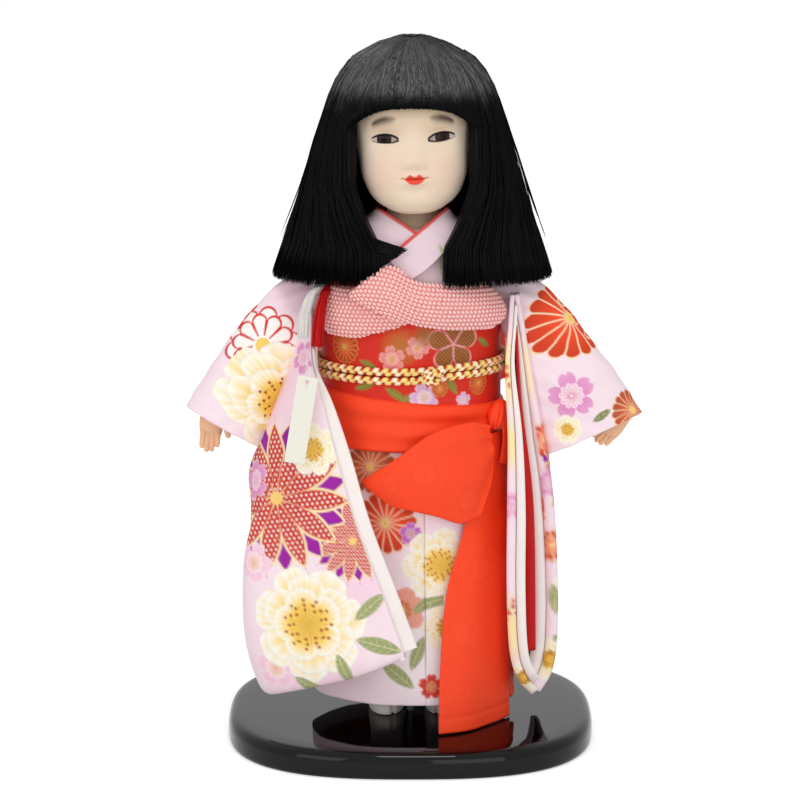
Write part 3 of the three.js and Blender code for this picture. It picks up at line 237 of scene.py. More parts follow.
@dataclass
class Grid:
    """A surface of rows and columns of points, rows running down and columns round by the left.

    Attributes:
        points: Array of rows, columns, x y z.
        wrap: True if the last column joins the first.
        tint: Linear colour of each point, or None.
    """

    points: Points
    wrap: bool = False
    tint: Points | None = None

    def normals(self) -> Points:
        """Unit normals, the cross product of the way down and the way across."""
        p = self.points
        across = np.roll(p, -1, 1) - np.roll(p, 1, 1) if self.wrap else np.gradient(p, axis=1)
        return unit(np.cross(np.gradient(p, axis=0), across))

    def push(self, height: Points) -> "Grid":
        """The same surface with each point moved along its normal."""
        return Grid(self.points + self.normals() * np.asarray(height)[..., None], self.wrap, self.tint)

    def painted(self, colour: Points) -> "Grid":
        """The same surface with one colour all over or one for each point."""
        self.tint = np.broadcast_to(colour, self.points.shape).copy()
        return self

    def arrays(self) -> tuple[Points, NDArray[np.int64], Points | None]:
        """Points, quads and colours."""
        rows, columns = self.points.shape[:2]
        c = np.arange(columns if self.wrap else columns - 1)
        n = (c + 1) % columns
        r = np.arange(rows - 1)[:, None] * columns
        quads = np.stack([r + c, r + columns + c, r + columns + n, r + n], -1)
        tint = None if self.tint is None else self.tint.reshape(-1, 3)
        return self.points.reshape(-1, 3), quads.reshape(-1, 4), tint


@dataclass
class Tubes:
    """Many round threads of equal point count, each a ring carried along its path.

    Attributes:
        paths: Array of threads, points, x y z.
        radius: Radius of each point.
        sides: Corners of the ring.
        tint: Linear colour of each thread's points, or None.
    """

    SKEW: ClassVar[Triple] = (0.35, 0.8, 0.48)
    paths: Points
    radius: Points | float
    sides: int = 3
    tint: Points | None = None

    def arrays(self) -> tuple[Points, NDArray[np.int64], Points | None]:
        """Points, quads and colours."""
        count, steps = self.paths.shape[:2]
        along = unit(np.gradient(self.paths, axis=1))
        side = unit(np.cross(along, self.SKEW))
        up = np.cross(side, along)
        angle = whole_turn(self.sides)
        ring = np.cos(angle)[:, None] * side[:, :, None] + np.sin(angle)[:, None] * up[:, :, None]
        radius = np.broadcast_to(self.radius, (count, steps))[:, :, None, None]
        points = self.paths[:, :, None] + ring * radius
        first = (np.arange(count)[:, None] * steps + np.arange(steps - 1))[..., None] * self.sides
        s = np.arange(self.sides)
        t = (s + 1) % self.sides
        quads = np.stack([first + s, first + t, first + self.sides + t, first + self.sides + s], -1)
        tint = None
        if self.tint is not None:
            tint = np.broadcast_to(self.tint[:, :, None], points.shape).reshape(-1, 3)
        return points.reshape(-1, 3), quads.reshape(-1, 4), tint


class Grain(Enum):
    """Fine relief of a finish: grain length in millimetres and relief height in millimetres."""

    SMOOTH = (6.0, 0.01)
    SATIN = (1.2, 0.02)
    CREPE = (0.9, 0.06)
    BROCADE = (0.7, 0.08)
    FIBRE = (0.5, 0.03)
    CARD = (1.6, 0.03)


def node(tree: bpy.types.NodeTree, kind: str, **values: float) -> bpy.types.Node:
    """A new shader node with values on its inputs, their names written with _ for blanks."""
    made = tree.nodes.new(f"ShaderNode{kind}")
    for name, value in values.items():
        made.inputs[name.replace("_", " ")].default_value = value
    return made


@dataclass(frozen=True)
class Finish:
    """One surface finish, made as a node material.

    Attributes:
        name: Material name.
        slot: Name of a material slot; not used.
        colour: Display colour, or None where the piece carries its own colours.
        roughness: Roughness of the surface.
        grain: Fine relief.
        shade: Share by which the colour varies.
        patch_length: Length of the colour's variation.
        metallic, specular, soft: Constant shader values.
    """

    SOFT_RADIUS: ClassVar[Triple] = (1.0, 0.5, 0.3)
    SOFT_DEPTH: ClassVar[float] = 2.0
    name: str
    slot: str
    colour: Triple | None = None
    roughness: float = 0.7
    grain: Grain = Grain.CREPE
    shade: float = 0.06
    patch_length: float = 9.0
    metallic: float = 0.0
    specular: float = 0.5
    soft: float = 0.0

    def material(self) -> bpy.types.Material:
        """The finish's material, made once: colour times a slow noise, and a bump from a fine noise."""
        found = bpy.data.materials.get(self.name)
        if found:
            return found
        made = bpy.data.materials.new(self.name)
        made.use_nodes = True
        tree = made.node_tree
        link = tree.links.new
        shader = tree.nodes["Principled BSDF"]
        for socket, value in (
            ("Roughness", self.roughness), ("Metallic", self.metallic), ("Specular IOR Level", self.specular),
            ("Subsurface Weight", self.soft), ("Subsurface Radius", self.SOFT_RADIUS),
            ("Subsurface Scale", self.SOFT_DEPTH * MM),
        ):
            shader.inputs[socket].default_value = value
        length, height = self.grain.value
        place = node(tree, "TexCoord")
        slow = node(tree, "TexNoise", Scale=1 / (self.patch_length * MM), Detail=3)
        fine = node(tree, "TexNoise", Scale=1 / (length * MM), Detail=2)
        level = node(tree, "MapRange", To_Min=1 - self.shade, To_Max=1 + self.shade)
        bump = node(tree, "Bump", Strength=1.0, Distance=height * MM)
        scale = node(tree, "VectorMath")
        scale.operation = "SCALE"
        if self.colour is None:
            own = node(tree, "Attribute")
            own.attribute_name = TINT
            link(own.outputs["Color"], scale.inputs[0])
        else:
            scale.inputs[0].default_value = tuple(linear(*self.colour))
        for noise in (slow, fine):
            link(place.outputs["Object"], noise.inputs["Vector"])
        link(slow.outputs["Fac"], level.inputs["Value"])
        link(level.outputs["Result"], scale.inputs["Scale"])
        link(scale.outputs["Vector"], shader.inputs["Base Color"])
        link(fine.outputs["Fac"], bump.inputs["Height"])
        link(bump.outputs["Normal"], shader.inputs["Normal"])
        return made


PRINT = Finish("printed_crepe_silk", "print", roughness=0.8, shade=0.03, specular=0.25)
LINING = Finish("white_silk_lining", "lining", (246, 238, 234), 0.85, shade=0.04, specular=0.2)
RED_SILK = Finish("plain_red_silk", "red_silk", (190, 14, 12), 0.6, Grain.SATIN, 0.08, specular=0.25)
BROCADE = Finish("obi_brocade", "brocade", None, 0.55, Grain.BROCADE, 0.08, 2.0, specular=0.25)
DAPPLED = Finish("tie_dyed_silk", "dappled", None, 0.75, Grain.CREPE, 0.04, specular=0.2)
BRAID = Finish("braided_silk_cord", "braid", None, 0.6, Grain.FIBRE, 0.06, 1.0, specular=0.25)
SATIN = Finish("orange_red_satin", "sash", None, 0.5, Grain.SATIN, 0.04, 12.0, specular=0.2)
THREAD = Finish("white_silk_thread", "white_silk", (242, 238, 232), 0.6, Grain.FIBRE, 0.08, specular=0.3)
RED_THREAD = Finish("red_silk_thread", "red_silk", (196, 10, 10), 0.55, Grain.FIBRE, 0.12, 3.0, specular=0.25)
FACE = Finish("shell_white_face", "skin", None, 0.42, Grain.SMOOTH, 0.015, 20.0, specular=0.12, soft=0.1)
SKIN = Finish("shell_white_coat", "skin", (232, 208, 180), 0.5, Grain.SMOOTH, 0.03, specular=0.2, soft=0.1)
HAND = Finish("tinted_shell_white", "hand", (240, 188, 147), 0.5, Grain.SMOOTH, 0.04, soft=0.15)
EYE = Finish("dark_glass_eye", "eye", None, 0.08, Grain.SMOOTH, 0.02, specular=0.12)
HAIR = Finish("black_silk_hair", "hair", None, 0.33, Grain.FIBRE, 0.3, 3.0, specular=0.08)
LACQUER = Finish("black_lacquer", "lacquer", (3, 3, 4), 0.05, Grain.SMOOTH, 0.05, 30.0, specular=0.22)
COTTON = Finish("white_cotton", "tabi", (238, 234, 226), 0.9, Grain.CREPE, 0.05)
CARD = Finish("plain_card", "paper", (233, 231, 218), 0.85, Grain.CARD, 0.03)
COMPOSITION = Finish("wood_composition", "composition", (185, 154, 116), 0.8, Grain.CARD, 0.15)
STEEL = Finish("drawn_steel", "steel", (184, 188, 192), 0.32, Grain.FIBRE, 0.08, metallic=1.0)


def dress(finish: Finish, *names: str) -> None:
    """Gives solids that stay their finish."""
    for name in names:
        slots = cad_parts[name].data.materials
        slots.clear()
        slots.append(finish.material())


def weld(mesh: bpy.types.Mesh) -> None:
    """Joins points that lie on one another, so seams, edges and poles are closed."""
    work = bmesh.new()
    work.from_mesh(mesh)
    bmesh.ops.remove_doubles(work, verts=work.verts, dist=WELD)
    work.to_mesh(mesh)
    work.free()


def put(
    name: str, parts: Grid | list[Grid | Tubes] | Tubes, finish: Finish, stands_for: str,
    body: str = "doll", lift: float = STAND_HEIGHT,
) -> bpy.types.Object:
    """Writes surfaces into one mesh object, dresses it and lets it ride on a body.

    Args:
        name: Piece name.
        parts: One surface or many, in millimetres.
        finish: Finish of the whole piece.
        stands_for: Solid that it replaces.
        body: Body that it moves with.
        lift: Height added to every point.
    Returns:
        The new object.
    """
    arrays = [part.arrays() for part in (parts if isinstance(parts, list) else [parts])]
    starts = np.cumsum([0] + [len(a[0]) for a in arrays])
    points = np.concatenate([a[0] for a in arrays]) + np.array((0, 0, lift))
    quads = np.concatenate([a[1] + start for a, start in zip(arrays, starts)])
    mesh = bpy.data.meshes.new(name)
    mesh.vertices.add(len(points))
    mesh.vertices.foreach_set("co", (points * MM).astype(np.float32).ravel())
    mesh.loops.add(quads.size)
    mesh.loops.foreach_set("vertex_index", quads.astype(np.int32).ravel())
    mesh.polygons.add(len(quads))
    mesh.polygons.foreach_set("loop_start", np.arange(len(quads), dtype=np.int32) * 4)
    mesh.update(calc_edges=True)
    mesh.polygons.foreach_set("use_smooth", np.ones(len(quads), bool))
    if finish.colour is None:
        rgba = np.ones((len(points), 4), np.float32)
        rgba[:, :3] = np.concatenate([a[2] for a in arrays])
        mesh.attributes.new(TINT, "FLOAT_COLOR", "POINT").data.foreach_set("color", rgba.ravel())
    mesh.materials.append(finish.material())
    weld(mesh)
    made = bpy.data.objects.new(name, mesh)
    bpy.context.scene.collection.objects.link(made)
    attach(made, body)
    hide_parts(stands_for)
    LOG.info("%s: %d quads on %s", name, len(quads), body)
    return made


class Facing(Enum):
    """Side of the doll that a motif is seen from, as the way its cloth faces."""

    FRONT = (0.0, -1.0, 0.0)
    BACK = (0.0, 1.0, 0.0)
    LEFT = (1.0, 0.0, 0.0)
    RIGHT = (-1.0, 0.0, 0.0)


@dataclass(frozen=True)
class Inks:
    """Display colours of one motif: petals, outlines and heart."""

    fill: Triple
    line: Triple = (0, 0, 0)
    heart: Triple = (244, 200, 92)

    @property
    def three(self) -> tuple[Points, Points, Points]:
        """The three colours in linear light."""
        return linear(*self.fill), linear(*self.line), linear(*self.heart)


@dataclass
class Brush:
    """The points that one motif may colour, in the motif's own unit disc.

    Attributes:
        tint: Colours of the whole canvas.
        index: Points under the motif.
        u, v: Places in the motif.
        edge: Width of a soft edge.
    """

    tint: Points
    index: NDArray[np.int64]
    u: Points
    v: Points
    edge: float
    rho: Points = field(init=False)
    phi: Points = field(init=False)

    def __post_init__(self) -> None:
        """Polar places from the plain ones."""
        self.rho = np.hypot(self.u, self.v)
        self.phi = np.arctan2(self.u, self.v)

    def cover(self, depth: Points) -> Points:
        """Share covered by a shape, from the depth inside its edge."""
        return np.clip(depth / self.edge + 0.5, 0, 1)

    def lay(self, colour: Points, share: Points) -> None:
        """Lays a colour over the canvas by the given share."""
        rows = self.tint[self.index]
        self.tint[self.index] = rows + (colour - rows) * share[:, None]

    def off(self, count: int, phase: float = 0.0) -> Points:
        """Angle from the nearest of evenly spread rays."""
        step = 2 * np.pi / count
        return self.phi - phase - np.round((self.phi - phase) / step) * step

    def disc(self, colour: Points, radius: float) -> None:
        """Lays a round spot at the middle."""
        self.lay(colour, self.cover(radius - self.rho))

    def stroke(
        self, colour: Points, depth: Points, half: Points | float, share: Points | float = 1.0,
    ) -> None:
        """Lays a line of a half width where a depth is nil."""
        self.lay(colour, self.cover(half - np.abs(depth)) * share)

    def dots(self, colour: Points, ring: float, count: int, size: float) -> None:
        """Lays a ring of round dots."""
        self.lay(colour, self.cover(size - np.hypot(self.rho - ring, ring * self.off(count))))


@dataclass(frozen=True)
class Motif:
    """One printed or woven motif.

    Attributes:
        x: Place across, along X from front or back and along Y from the sides.
        z: Height.
        radius: Size.
        inks: Colours.
        turn: Turn in degrees.
        facing: Side that it is on.
    """

    x: float
    z: float
    radius: float
    inks: Inks
    turn: float = 0.0
    facing: Facing = Facing.FRONT

    def draw(self, brush: Brush) -> None:
        """Colours the points under the motif."""
        brush.disc(linear(*self.inks.fill), 1)


class Chrysanthemum(Motif):
    """Long round-ended petals parted by lines, round a dotted heart."""

    PETALS = 16

    def draw(self, brush: Brush) -> None:
        """Colours petals that deepen outwards, each with a half-round end, and lines between them."""
        fill, line, heart = self.inks.three
        step = 2 * np.pi / self.PETALS
        off = brush.off(self.PETALS)
        edge = 0.83 + 0.17 * np.sqrt(np.clip(1 - (2 * off / step) ** 2, 0, 1))
        inside = brush.cover(edge - brush.rho)
        brush.lay(blend(fill * 1.25, fill * 0.86, smoothstep(brush.rho, 0.25, 0.95)), inside)
        brush.stroke(line, brush.rho * np.sin(step / 2 - np.abs(off)), 0.019, inside)
        brush.stroke(line, edge - 0.012 - brush.rho, 0.019)
        brush.disc(heart, 0.16)
        brush.dots(line, 0.11, 8, 0.02)


class OutlinedChrysanthemum(Motif):
    """Open petals drawn by their outlines only, with a plain heart."""

    def draw(self, brush: Brush) -> None:
        """Colours long looped petals over shorter ones, their outlines wide and their fill pale."""
        fill, line, heart = self.inks.three
        count = 10
        for reach, phase in ((1.0, np.pi), (0.82, 0.0)):
            wave = count * brush.phi + phase
            edge = reach * (0.76 + 0.24 * np.abs(np.cos(wave / 2)) ** 0.6)
            inside = brush.cover(edge - brush.rho)
            brush.lay(fill, inside)
            ray = 2 * brush.rho / count * np.abs(np.cos(wave / 2))
            swell = 0.018 + 0.022 * smoothstep(brush.rho, 0.2, 0.7)
            brush.stroke(line, ray, swell, inside * (brush.rho > 0.24))
            brush.stroke(line, edge - 0.03 - brush.rho, 0.034)
        brush.disc(heart, 0.19)


class Peony(Motif):
    """Broad soft petals that pale outwards, round a heart of fine rays and dotted stamens."""

    def draw(self, brush: Brush) -> None:
        """Colours three layers of lobes, yellow at the base and pale at the rim, then the heart."""
        fill, line, heart = self.inks.three
        streak = 0.5 + 0.5 * np.sin(31 * brush.phi + 3 * np.sin(5 * brush.phi))
        for reach, count, phase in ((1.0, 7, 0.2), (0.84, 6, 0.9), (0.63, 5, 0.1)):
            lobes = np.abs(np.cos(count * (brush.phi + phase) / 2))
            edge = reach * (0.75 + 0.24 * lobes**0.45 + 0.012 * np.cos(19 * brush.phi + 5 * phase))
            glow = smoothstep(brush.rho / edge * (0.93 + 0.14 * streak), 0.5, 1.06)
            inside = brush.cover(edge - brush.rho)
            shade = 0.86 + 0.14 * smoothstep(edge - brush.rho, -0.01, 0.05)
            brush.lay(blend(line, fill, glow) * shade[:, None], inside)
            brush.stroke(fill, edge - 0.03 - brush.rho, 0.012, 0.7)
        brush.lay(heart, 0.85 * (1 - smoothstep(brush.rho, 0.12, 0.42)))
        rays = np.abs(np.sin(11 * brush.phi)) * brush.rho / 11
        brush.stroke(heart * 0.66, rays, 0.007, 0.7 * brush.cover(0.36 - brush.rho))
        for ring, count in ((0.25, 9), (0.33, 13), (0.41, 11)):
            brush.dots(linear(158, 36, 40), ring, count, 0.025)


class CherryBlossom(Motif):
    """Five notched petals with a star of stamens."""

    def draw(self, brush: Brush) -> None:
        """Colours five petals, each a rounded lobe with a notch, and lines and dots from the heart."""
        fill, line, heart = self.inks.three
        edge = 0.4 + 0.6 * np.abs(np.cos(2.5 * brush.phi)) ** 0.42 - 0.13 * bell(brush.off(5), 0, 0.08)
        inside = brush.cover(edge - brush.rho)
        brush.lay(blend(fill, 0.6 * fill + 0.4 * line, np.clip(brush.rho, 0, 1)), inside)
        brush.stroke(line, edge - 0.015 - brush.rho, 0.02)
        corolla = 0.42 + 0.1 * np.abs(np.cos(5 * brush.phi))
        brush.lay(blend(heart, line, brush.rho / 0.5), brush.cover(corolla - brush.rho))
        ray = np.abs(np.sin(10 * brush.phi)) * brush.rho / 10
        brush.stroke(fill, ray, 0.01, 0.8 * brush.cover(0.4 - brush.rho) * (brush.rho > 0.12))
        brush.dots(fill, 0.42, 10, 0.024)
        brush.stroke(fill, brush.rho - 0.1, 0.022)


class LatticeBlossom(CherryBlossom):
    """A blossom of gold lattice with bright outlines, as woven in the obi."""

    def draw(self, brush: Brush) -> None:
        """Colours the petals, then two sets of slanting lines over them."""
        fill, line, _ = self.inks.three
        edge = 0.4 + 0.6 * np.abs(np.cos(2.5 * brush.phi)) ** 0.5
        inside = brush.cover(edge - brush.rho)
        brush.lay(fill, inside)
        for sign in (-1, 1):
            phase = (brush.u + sign * brush.v) / 0.15
            brush.stroke(fill * 0.25, 0.15 * (phase - np.round(phase)), 0.026, inside)
        seam = brush.off(5, np.pi / 5)
        brush.stroke(line, np.sin(seam) * brush.rho, 0.035, inside)
        brush.stroke(line, edge - brush.rho, 0.04)


class Leaf(Motif):
    """A pointed leaf with a midrib and side veins."""

    def draw(self, brush: Brush) -> None:
        """Colours a lens of half width 0.34 and its veins."""
        fill, line, _ = self.inks.three
        half = 0.34 * np.clip(1 - brush.v**2, 0, 1) ** 0.85
        inside = brush.cover(half - np.abs(brush.u)) * (np.abs(brush.v) < 1)
        brush.lay(blend(fill, fill * 1.25, np.abs(brush.u) / 0.34), inside)
        brush.stroke(line, brush.u, 0.018, inside)
        vein = (brush.v - 0.9 * np.abs(brush.u)) / 0.3
        brush.stroke(line, 0.3 * (vein - np.round(vein)), 0.016, 0.6 * inside)


class DappledStar(Motif):
    """A blossom of pointed tie-dyed petals with plain pointed petals behind them."""

    def petals(self, brush: Brush, count: int, phase: float, half: float, reach: float) -> Points:
        """Depth inside a ring of lens-shaped petals.

        Args:
            brush: Points to colour.
            count: Number of petals.
            phase: Turn of the ring.
            half: Half width of a petal.
            reach: Length of a petal.
        Returns:
            Depth, positive inside.
        """
        off = brush.off(count, phase)
        along = np.clip(brush.rho * np.cos(off) / reach, 0, 1)
        return half * np.sin(np.pi * along**1.25) ** 0.8 - np.abs(brush.rho * np.sin(off))

    def draw(self, brush: Brush) -> None:
        """Colours plain petals, then wider petals with rows of rings, all with bright outlines."""
        fill, line, heart = self.inks.three
        row = np.round(brush.v / 0.062)
        u = brush.u / 0.072 + 0.5 * (row % 2)
        ring = np.hypot((u - np.round(u)) * 0.072, brush.v - row * 0.062)
        for phase, half, colour in ((np.pi / 11, 0.17, heart), (0.0, 0.15, fill)):
            depth = self.petals(brush, 11, phase, half, 1.0)
            brush.lay(colour, brush.cover(depth))
            if phase == 0:
                dots = brush.cover(0.017 - ring) * brush.cover(depth - 0.03)
                brush.lay(linear(253, 238, 230), dots)
            brush.stroke(line, depth, 0.018, brush.rho < 1)
        brush.disc(linear(246, 205, 120), 0.09)


class Cloud(Motif):
    """A soft patch of colour in the ground."""

    def draw(self, brush: Brush) -> None:
        """Colours a disc that fades out to its rim."""
        brush.lay(linear(*self.inks.fill), 0.85 * np.clip(1 - brush.rho**2, 0, 1))


class Berries(Motif):
    """A few round berries."""

    def draw(self, brush: Brush) -> None:
        """Colours two rings of dots."""
        brush.dots(linear(*self.inks.fill), 0.3, 3, 0.16)
        brush.dots(linear(*self.inks.line), 0.72, 5, 0.13)


class Canvas:
    """The colours of a surface, which motifs are laid on."""

    def __init__(self, grid: Grid, ground: Points) -> None:
        """Starts from one ground colour or one for each point.

        Args:
            grid: Surface to colour.
            ground: Linear colour.
        """
        self.grid = grid
        self.points = grid.points.reshape(-1, 3)
        self.normals = grid.normals().reshape(-1, 3)
        self.tint = np.broadcast_to(ground, grid.points.shape).reshape(-1, 3).copy()
        steps = [np.median(np.linalg.norm(np.diff(grid.points, axis=k), axis=2)) for k in (0, 1)]
        self.spacing = 1.1 * float(max(steps))

    def place(self, motifs: Iterable[Motif]) -> "Canvas":
        """Lays motifs in order, each on the nearest cloth that faces its side."""
        for motif in motifs:
            self._lay(motif)
        return self

    def _lay(self, motif: Motif) -> None:
        """Finds the cloth under a motif and lets it draw in the plane that touches the cloth there."""
        way = np.array(motif.facing.value)
        axis = 0 if way[0] == 0 else 1
        faces = np.flatnonzero(self.normals @ way > 0.35)
        if not len(faces):
            return
        off = np.hypot(self.points[faces, axis] - motif.x, self.points[faces, 2] - motif.z)
        anchor = faces[np.argmin(off)]
        if off.min() > motif.radius:
            return
        normal = self.normals[anchor]
        level = np.eye(3)[axis] - normal[axis] * normal
        level /= np.linalg.norm(level)
        up = np.cross(normal, level)
        up *= np.sign(up[2])
        away = self.points - self.points[anchor]
        u = away @ level + self.points[anchor, axis] - motif.x
        v = away @ up + self.points[anchor, 2] - motif.z
        near = (u**2 + v**2 < (1.1 * motif.radius) ** 2) & (self.normals @ normal > 0.15)
        near &= np.abs(away @ normal) < 0.7 * motif.radius + 4
        index = np.flatnonzero(near)
        u, v = spun(u[index] / motif.radius, v[index] / motif.radius, -motif.turn)
        motif.draw(Brush(self.tint, index, u, v, self.spacing / motif.radius))

    def done(self) -> Grid:
        """The surface with its colours."""
        self.grid.tint = self.tint.reshape(self.grid.points.shape)
        return self.grid


def seen_from(facing: Facing, *motifs: Motif) -> tuple[Motif, ...]:
    """The motifs set on another side of the doll."""
    return tuple(replace(motif, facing=facing) for motif in motifs)


RED = Inks((224, 70, 38), (252, 226, 186), (246, 205, 110))
BROWN = Inks((196, 92, 60), (250, 214, 170), (246, 205, 110))
WHITE = Inks((254, 246, 242), (214, 36, 30), (246, 208, 110))
CREAM = Inks((254, 250, 240), (251, 214, 100), (246, 196, 88))
YELLOW = Inks((254, 250, 236), (250, 208, 78), (246, 192, 84))
CORAL = Inks((244, 176, 160), (240, 150, 110), (246, 190, 110))
CRIMSON = Inks((206, 40, 36), (240, 120, 100), (250, 214, 140))
PURPLE = Inks((170, 50, 170), (240, 190, 236), (250, 226, 140))
PINK = Inks((222, 118, 184), (250, 222, 238), (250, 232, 214))
PALE_PINK = Inks((248, 190, 214), (254, 240, 246), (240, 190, 90))
TIE_DYED = Inks((204, 52, 36), (250, 224, 176), (158, 34, 160))
SAGE = Inks((150, 158, 112), (222, 218, 160))
MOSS = Inks((112, 124, 76), (214, 206, 150))
PINK_CLOUD = Inks((247, 208, 224))
WHITE_CLOUD = Inks((254, 250, 250))
YELLOW_CLOUD = Inks((253, 232, 160))
AMBER_CLOUD = Inks((186, 120, 52))
UMBER_CLOUD = Inks((160, 110, 50))
BERRY = Inks((206, 40, 36), (226, 120, 110))
GROUND = linear(248, 226, 234)

SIDE_MOTIFS: tuple[Motif, ...] = (
    *seen_from(
        Facing.LEFT,
        Peony(2, 74, 34, CREAM, 15), DappledStar(-6, 152, 30, TIE_DYED, 20),
        Chrysanthemum(14, 112, 19, RED), CherryBlossom(-22, 112, 12, PINK), Leaf(-24, 46, 13, SAGE, 70),
        Leaf(20, 38, 13, SAGE, 130),
    ),
    *seen_from(
        Facing.RIGHT,
        Chrysanthemum(-20, 120, 22, RED), CherryBlossom(-14, 70, 14, PINK),
    ),
)

SLEEVE_MOTIFS: tuple[Motif, ...] = (
    Cloud(-70, 260, 16, PINK_CLOUD), OutlinedChrysanthemum(-87.5, 228.5, 23.5, WHITE, 8),
    Peony(-77, 195, 33, YELLOW, 20), Chrysanthemum(94.5, 243, 24.5, RED, 12),
    CherryBlossom(95.3, 198.7, 15, PINK, 18), Leaf(113.5, 186.5, 6.5, MOSS, -55),
    Peony(93, 178, 9, YELLOW, 50), Chrysanthemum(132, 189, 13, BROWN),
    *seen_from(
        Facing.BACK,
        Peony(-92, 190, 24, YELLOW, 30), Chrysanthemum(-90, 236, 20, RED), Chrysanthemum(92, 236, 21, RED),
        CherryBlossom(98, 196, 15, PINK, 40), Leaf(80, 206, 12, SAGE, 70),
    ),
)

BAG_MOTIFS: tuple[Motif, ...] = (
    *SIDE_MOTIFS, Cloud(-62, 50, 40, PINK_CLOUD), Cloud(-34, 95, 26, PINK_CLOUD),
    Cloud(-80, 205, 30, PINK_CLOUD), CherryBlossom(-63, 223, 11, PINK, 30),
    Chrysanthemum(-97, 166, 13, BROWN), DappledStar(-34, 120, 24, TIE_DYED, 10),
    DappledStar(-79, 142, 44, TIE_DYED, 8), CherryBlossom(-92, 148, 13, PINK, 10),
    Peony(-57.5, 172, 16, CREAM, 40), CherryBlossom(-93, 102, 13, PALE_PINK, 50),
    CherryBlossom(-80, 40, 14, PALE_PINK, 5), Peony(-60.5, 69, 36, CREAM, 12),
    Leaf(-24, 81.5, 12, SAGE, -48), Leaf(-18.6, 58.5, 14, SAGE, 74), Leaf(-39, 43, 11, SAGE, 25),
    Leaf(-58, 30, 11, SAGE, 75), Cloud(57, 214, 26, YELLOW_CLOUD), Berries(56, 208, 12, BERRY),
    Cloud(60, 172, 18, YELLOW_CLOUD), CherryBlossom(60, 135.5, 8, PINK), Cloud(60.5, 60, 24, YELLOW_CLOUD),
    Berries(61, 72, 9, BERRY), Chrysanthemum(80, 172, 10, RED), CherryBlossom(82, 145, 9, PINK),
    Chrysanthemum(84.7, 107, 10, RED), Leaf(86.5, 74, 10, SAGE, 8), Peony(84, 37, 13, YELLOW),
    Peony(68, 30, 11, YELLOW),
    *seen_from(
        Facing.BACK,
        Peony(-74, 88, 30, CREAM), DappledStar(-82, 142, 24, TIE_DYED, 40),
        CherryBlossom(-60, 44, 13, PINK),
    ),
)

SKIRT_MOTIFS: tuple[Motif, ...] = (
    *SIDE_MOTIFS, Cloud(30, 60, 60, WHITE_CLOUD), Chrysanthemum(-15, 125, 19, RED, 5),
    Chrysanthemum(-24, 158, 16, BROWN, 20), CherryBlossom(0, 119, 7, PURPLE),
    Peony(17.5, 100, 23, CREAM, 30), Peony(22, 62, 16, CREAM, 75), Peony(-6, 72, 15, CORAL, 20),
    Leaf(-8, 33, 13, SAGE, 50), Leaf(4, 46, 11, SAGE, -20), Leaf(8, 76, 9, SAGE, 130),
    CherryBlossom(12.5, 26, 8, CRIMSON), Leaf(20, 279, 8.5, SAGE, -6),
    CherryBlossom(36, 276, 9, PALE_PINK, 10),
    *seen_from(
        Facing.BACK,
        Peony(0, 128, 28, YELLOW, 10), Chrysanthemum(34, 78, 24, RED, 5),
        DappledStar(-32, 82, 30, TIE_DYED), CherryBlossom(4, 50, 15, PINK, 25), Leaf(-6, 96, 13, SAGE, 50),
        Leaf(22, 46, 12, SAGE, 130),
    ),
)

GOLD_LATTICE = Inks((200, 124, 60), (244, 160, 160), (230, 190, 100))
FINE_GOLD = Inks((206, 70, 36), (222, 172, 84), (222, 172, 84))
LILAC = Inks((206, 160, 200), (244, 222, 240), (240, 214, 130))
ROSE = Inks((226, 120, 120), (246, 190, 180), (230, 190, 100))
OLIVE = Inks((128, 120, 48), (190, 170, 80))
OBI_MOTIFS: tuple[Motif, ...] = (
    Chrysanthemum(-39, 229, 10, FINE_GOLD), Cloud(-6, 231, 13, AMBER_CLOUD),
    CherryBlossom(-11, 224, 8, ROSE, 10), CherryBlossom(4, 231, 7, ROSE, 40),
    LatticeBlossom(25, 232, 16, GOLD_LATTICE), Cloud(8, 238, 8, UMBER_CLOUD), Leaf(-25, 220, 6, OLIVE, 70),
    Leaf(-27, 207, 7, OLIVE, 110), Leaf(-9, 203, 7, OLIVE, 60), Leaf(-3, 200, 6, OLIVE, 120),
    Leaf(24, 208, 7, OLIVE, 30), Leaf(43, 231, 6, OLIVE, 60), CherryBlossom(8, 201, 9, LILAC, 20),
    CherryBlossom(31, 198, 5, LILAC), Chrysanthemum(40, 207, 7, FINE_GOLD),
    Chrysanthemum(17, 206, 5, FINE_GOLD),
    *seen_from(
        Facing.BACK,
        LatticeBlossom(0, 222, 16, GOLD_LATTICE), LatticeBlossom(-34, 232, 14, GOLD_LATTICE, 20),
        Chrysanthemum(34, 222, 14, FINE_GOLD), CherryBlossom(-30, 206, 8, LILAC),
        CherryBlossom(20, 240, 8, ROSE), Leaf(14, 202, 8, OLIVE, 50),
        LatticeBlossom(0, 180, 12, GOLD_LATTICE), CherryBlossom(4, 156, 8, LILAC),
    ),
    *seen_from(
        Facing.LEFT,
        LatticeBlossom(4, 224, 13, GOLD_LATTICE),
    ),
    *seen_from(
        Facing.RIGHT,
        LatticeBlossom(4, 224, 13, GOLD_LATTICE),
    ),
)

SATIN_TONE = Inks((249, 68, 32), (254, 80, 41), (254, 79, 40))
SASH_MOTIFS: tuple[Motif, ...] = tuple(
    CherryBlossom(x, z, radius, SATIN_TONE, turn, facing)
    for facing, rows in (
        (Facing.FRONT, (
            (30, 60, 12, 0), (42, 96, 14, 20), (26, 26, 10, 40), (46, 34, 10, 0), (52, 66, 9, 10),
            (8, 158, 13, 30), (34, 140, 12, 0), (-12, 152, 9, 20), (-30, 186, 10, 0), (-4, 182, 10, 0))),
        (Facing.BACK, ((0, 184, 11, 0), (30, 184, 10, 0))),
    )
    for x, z, radius, turn in rows
)


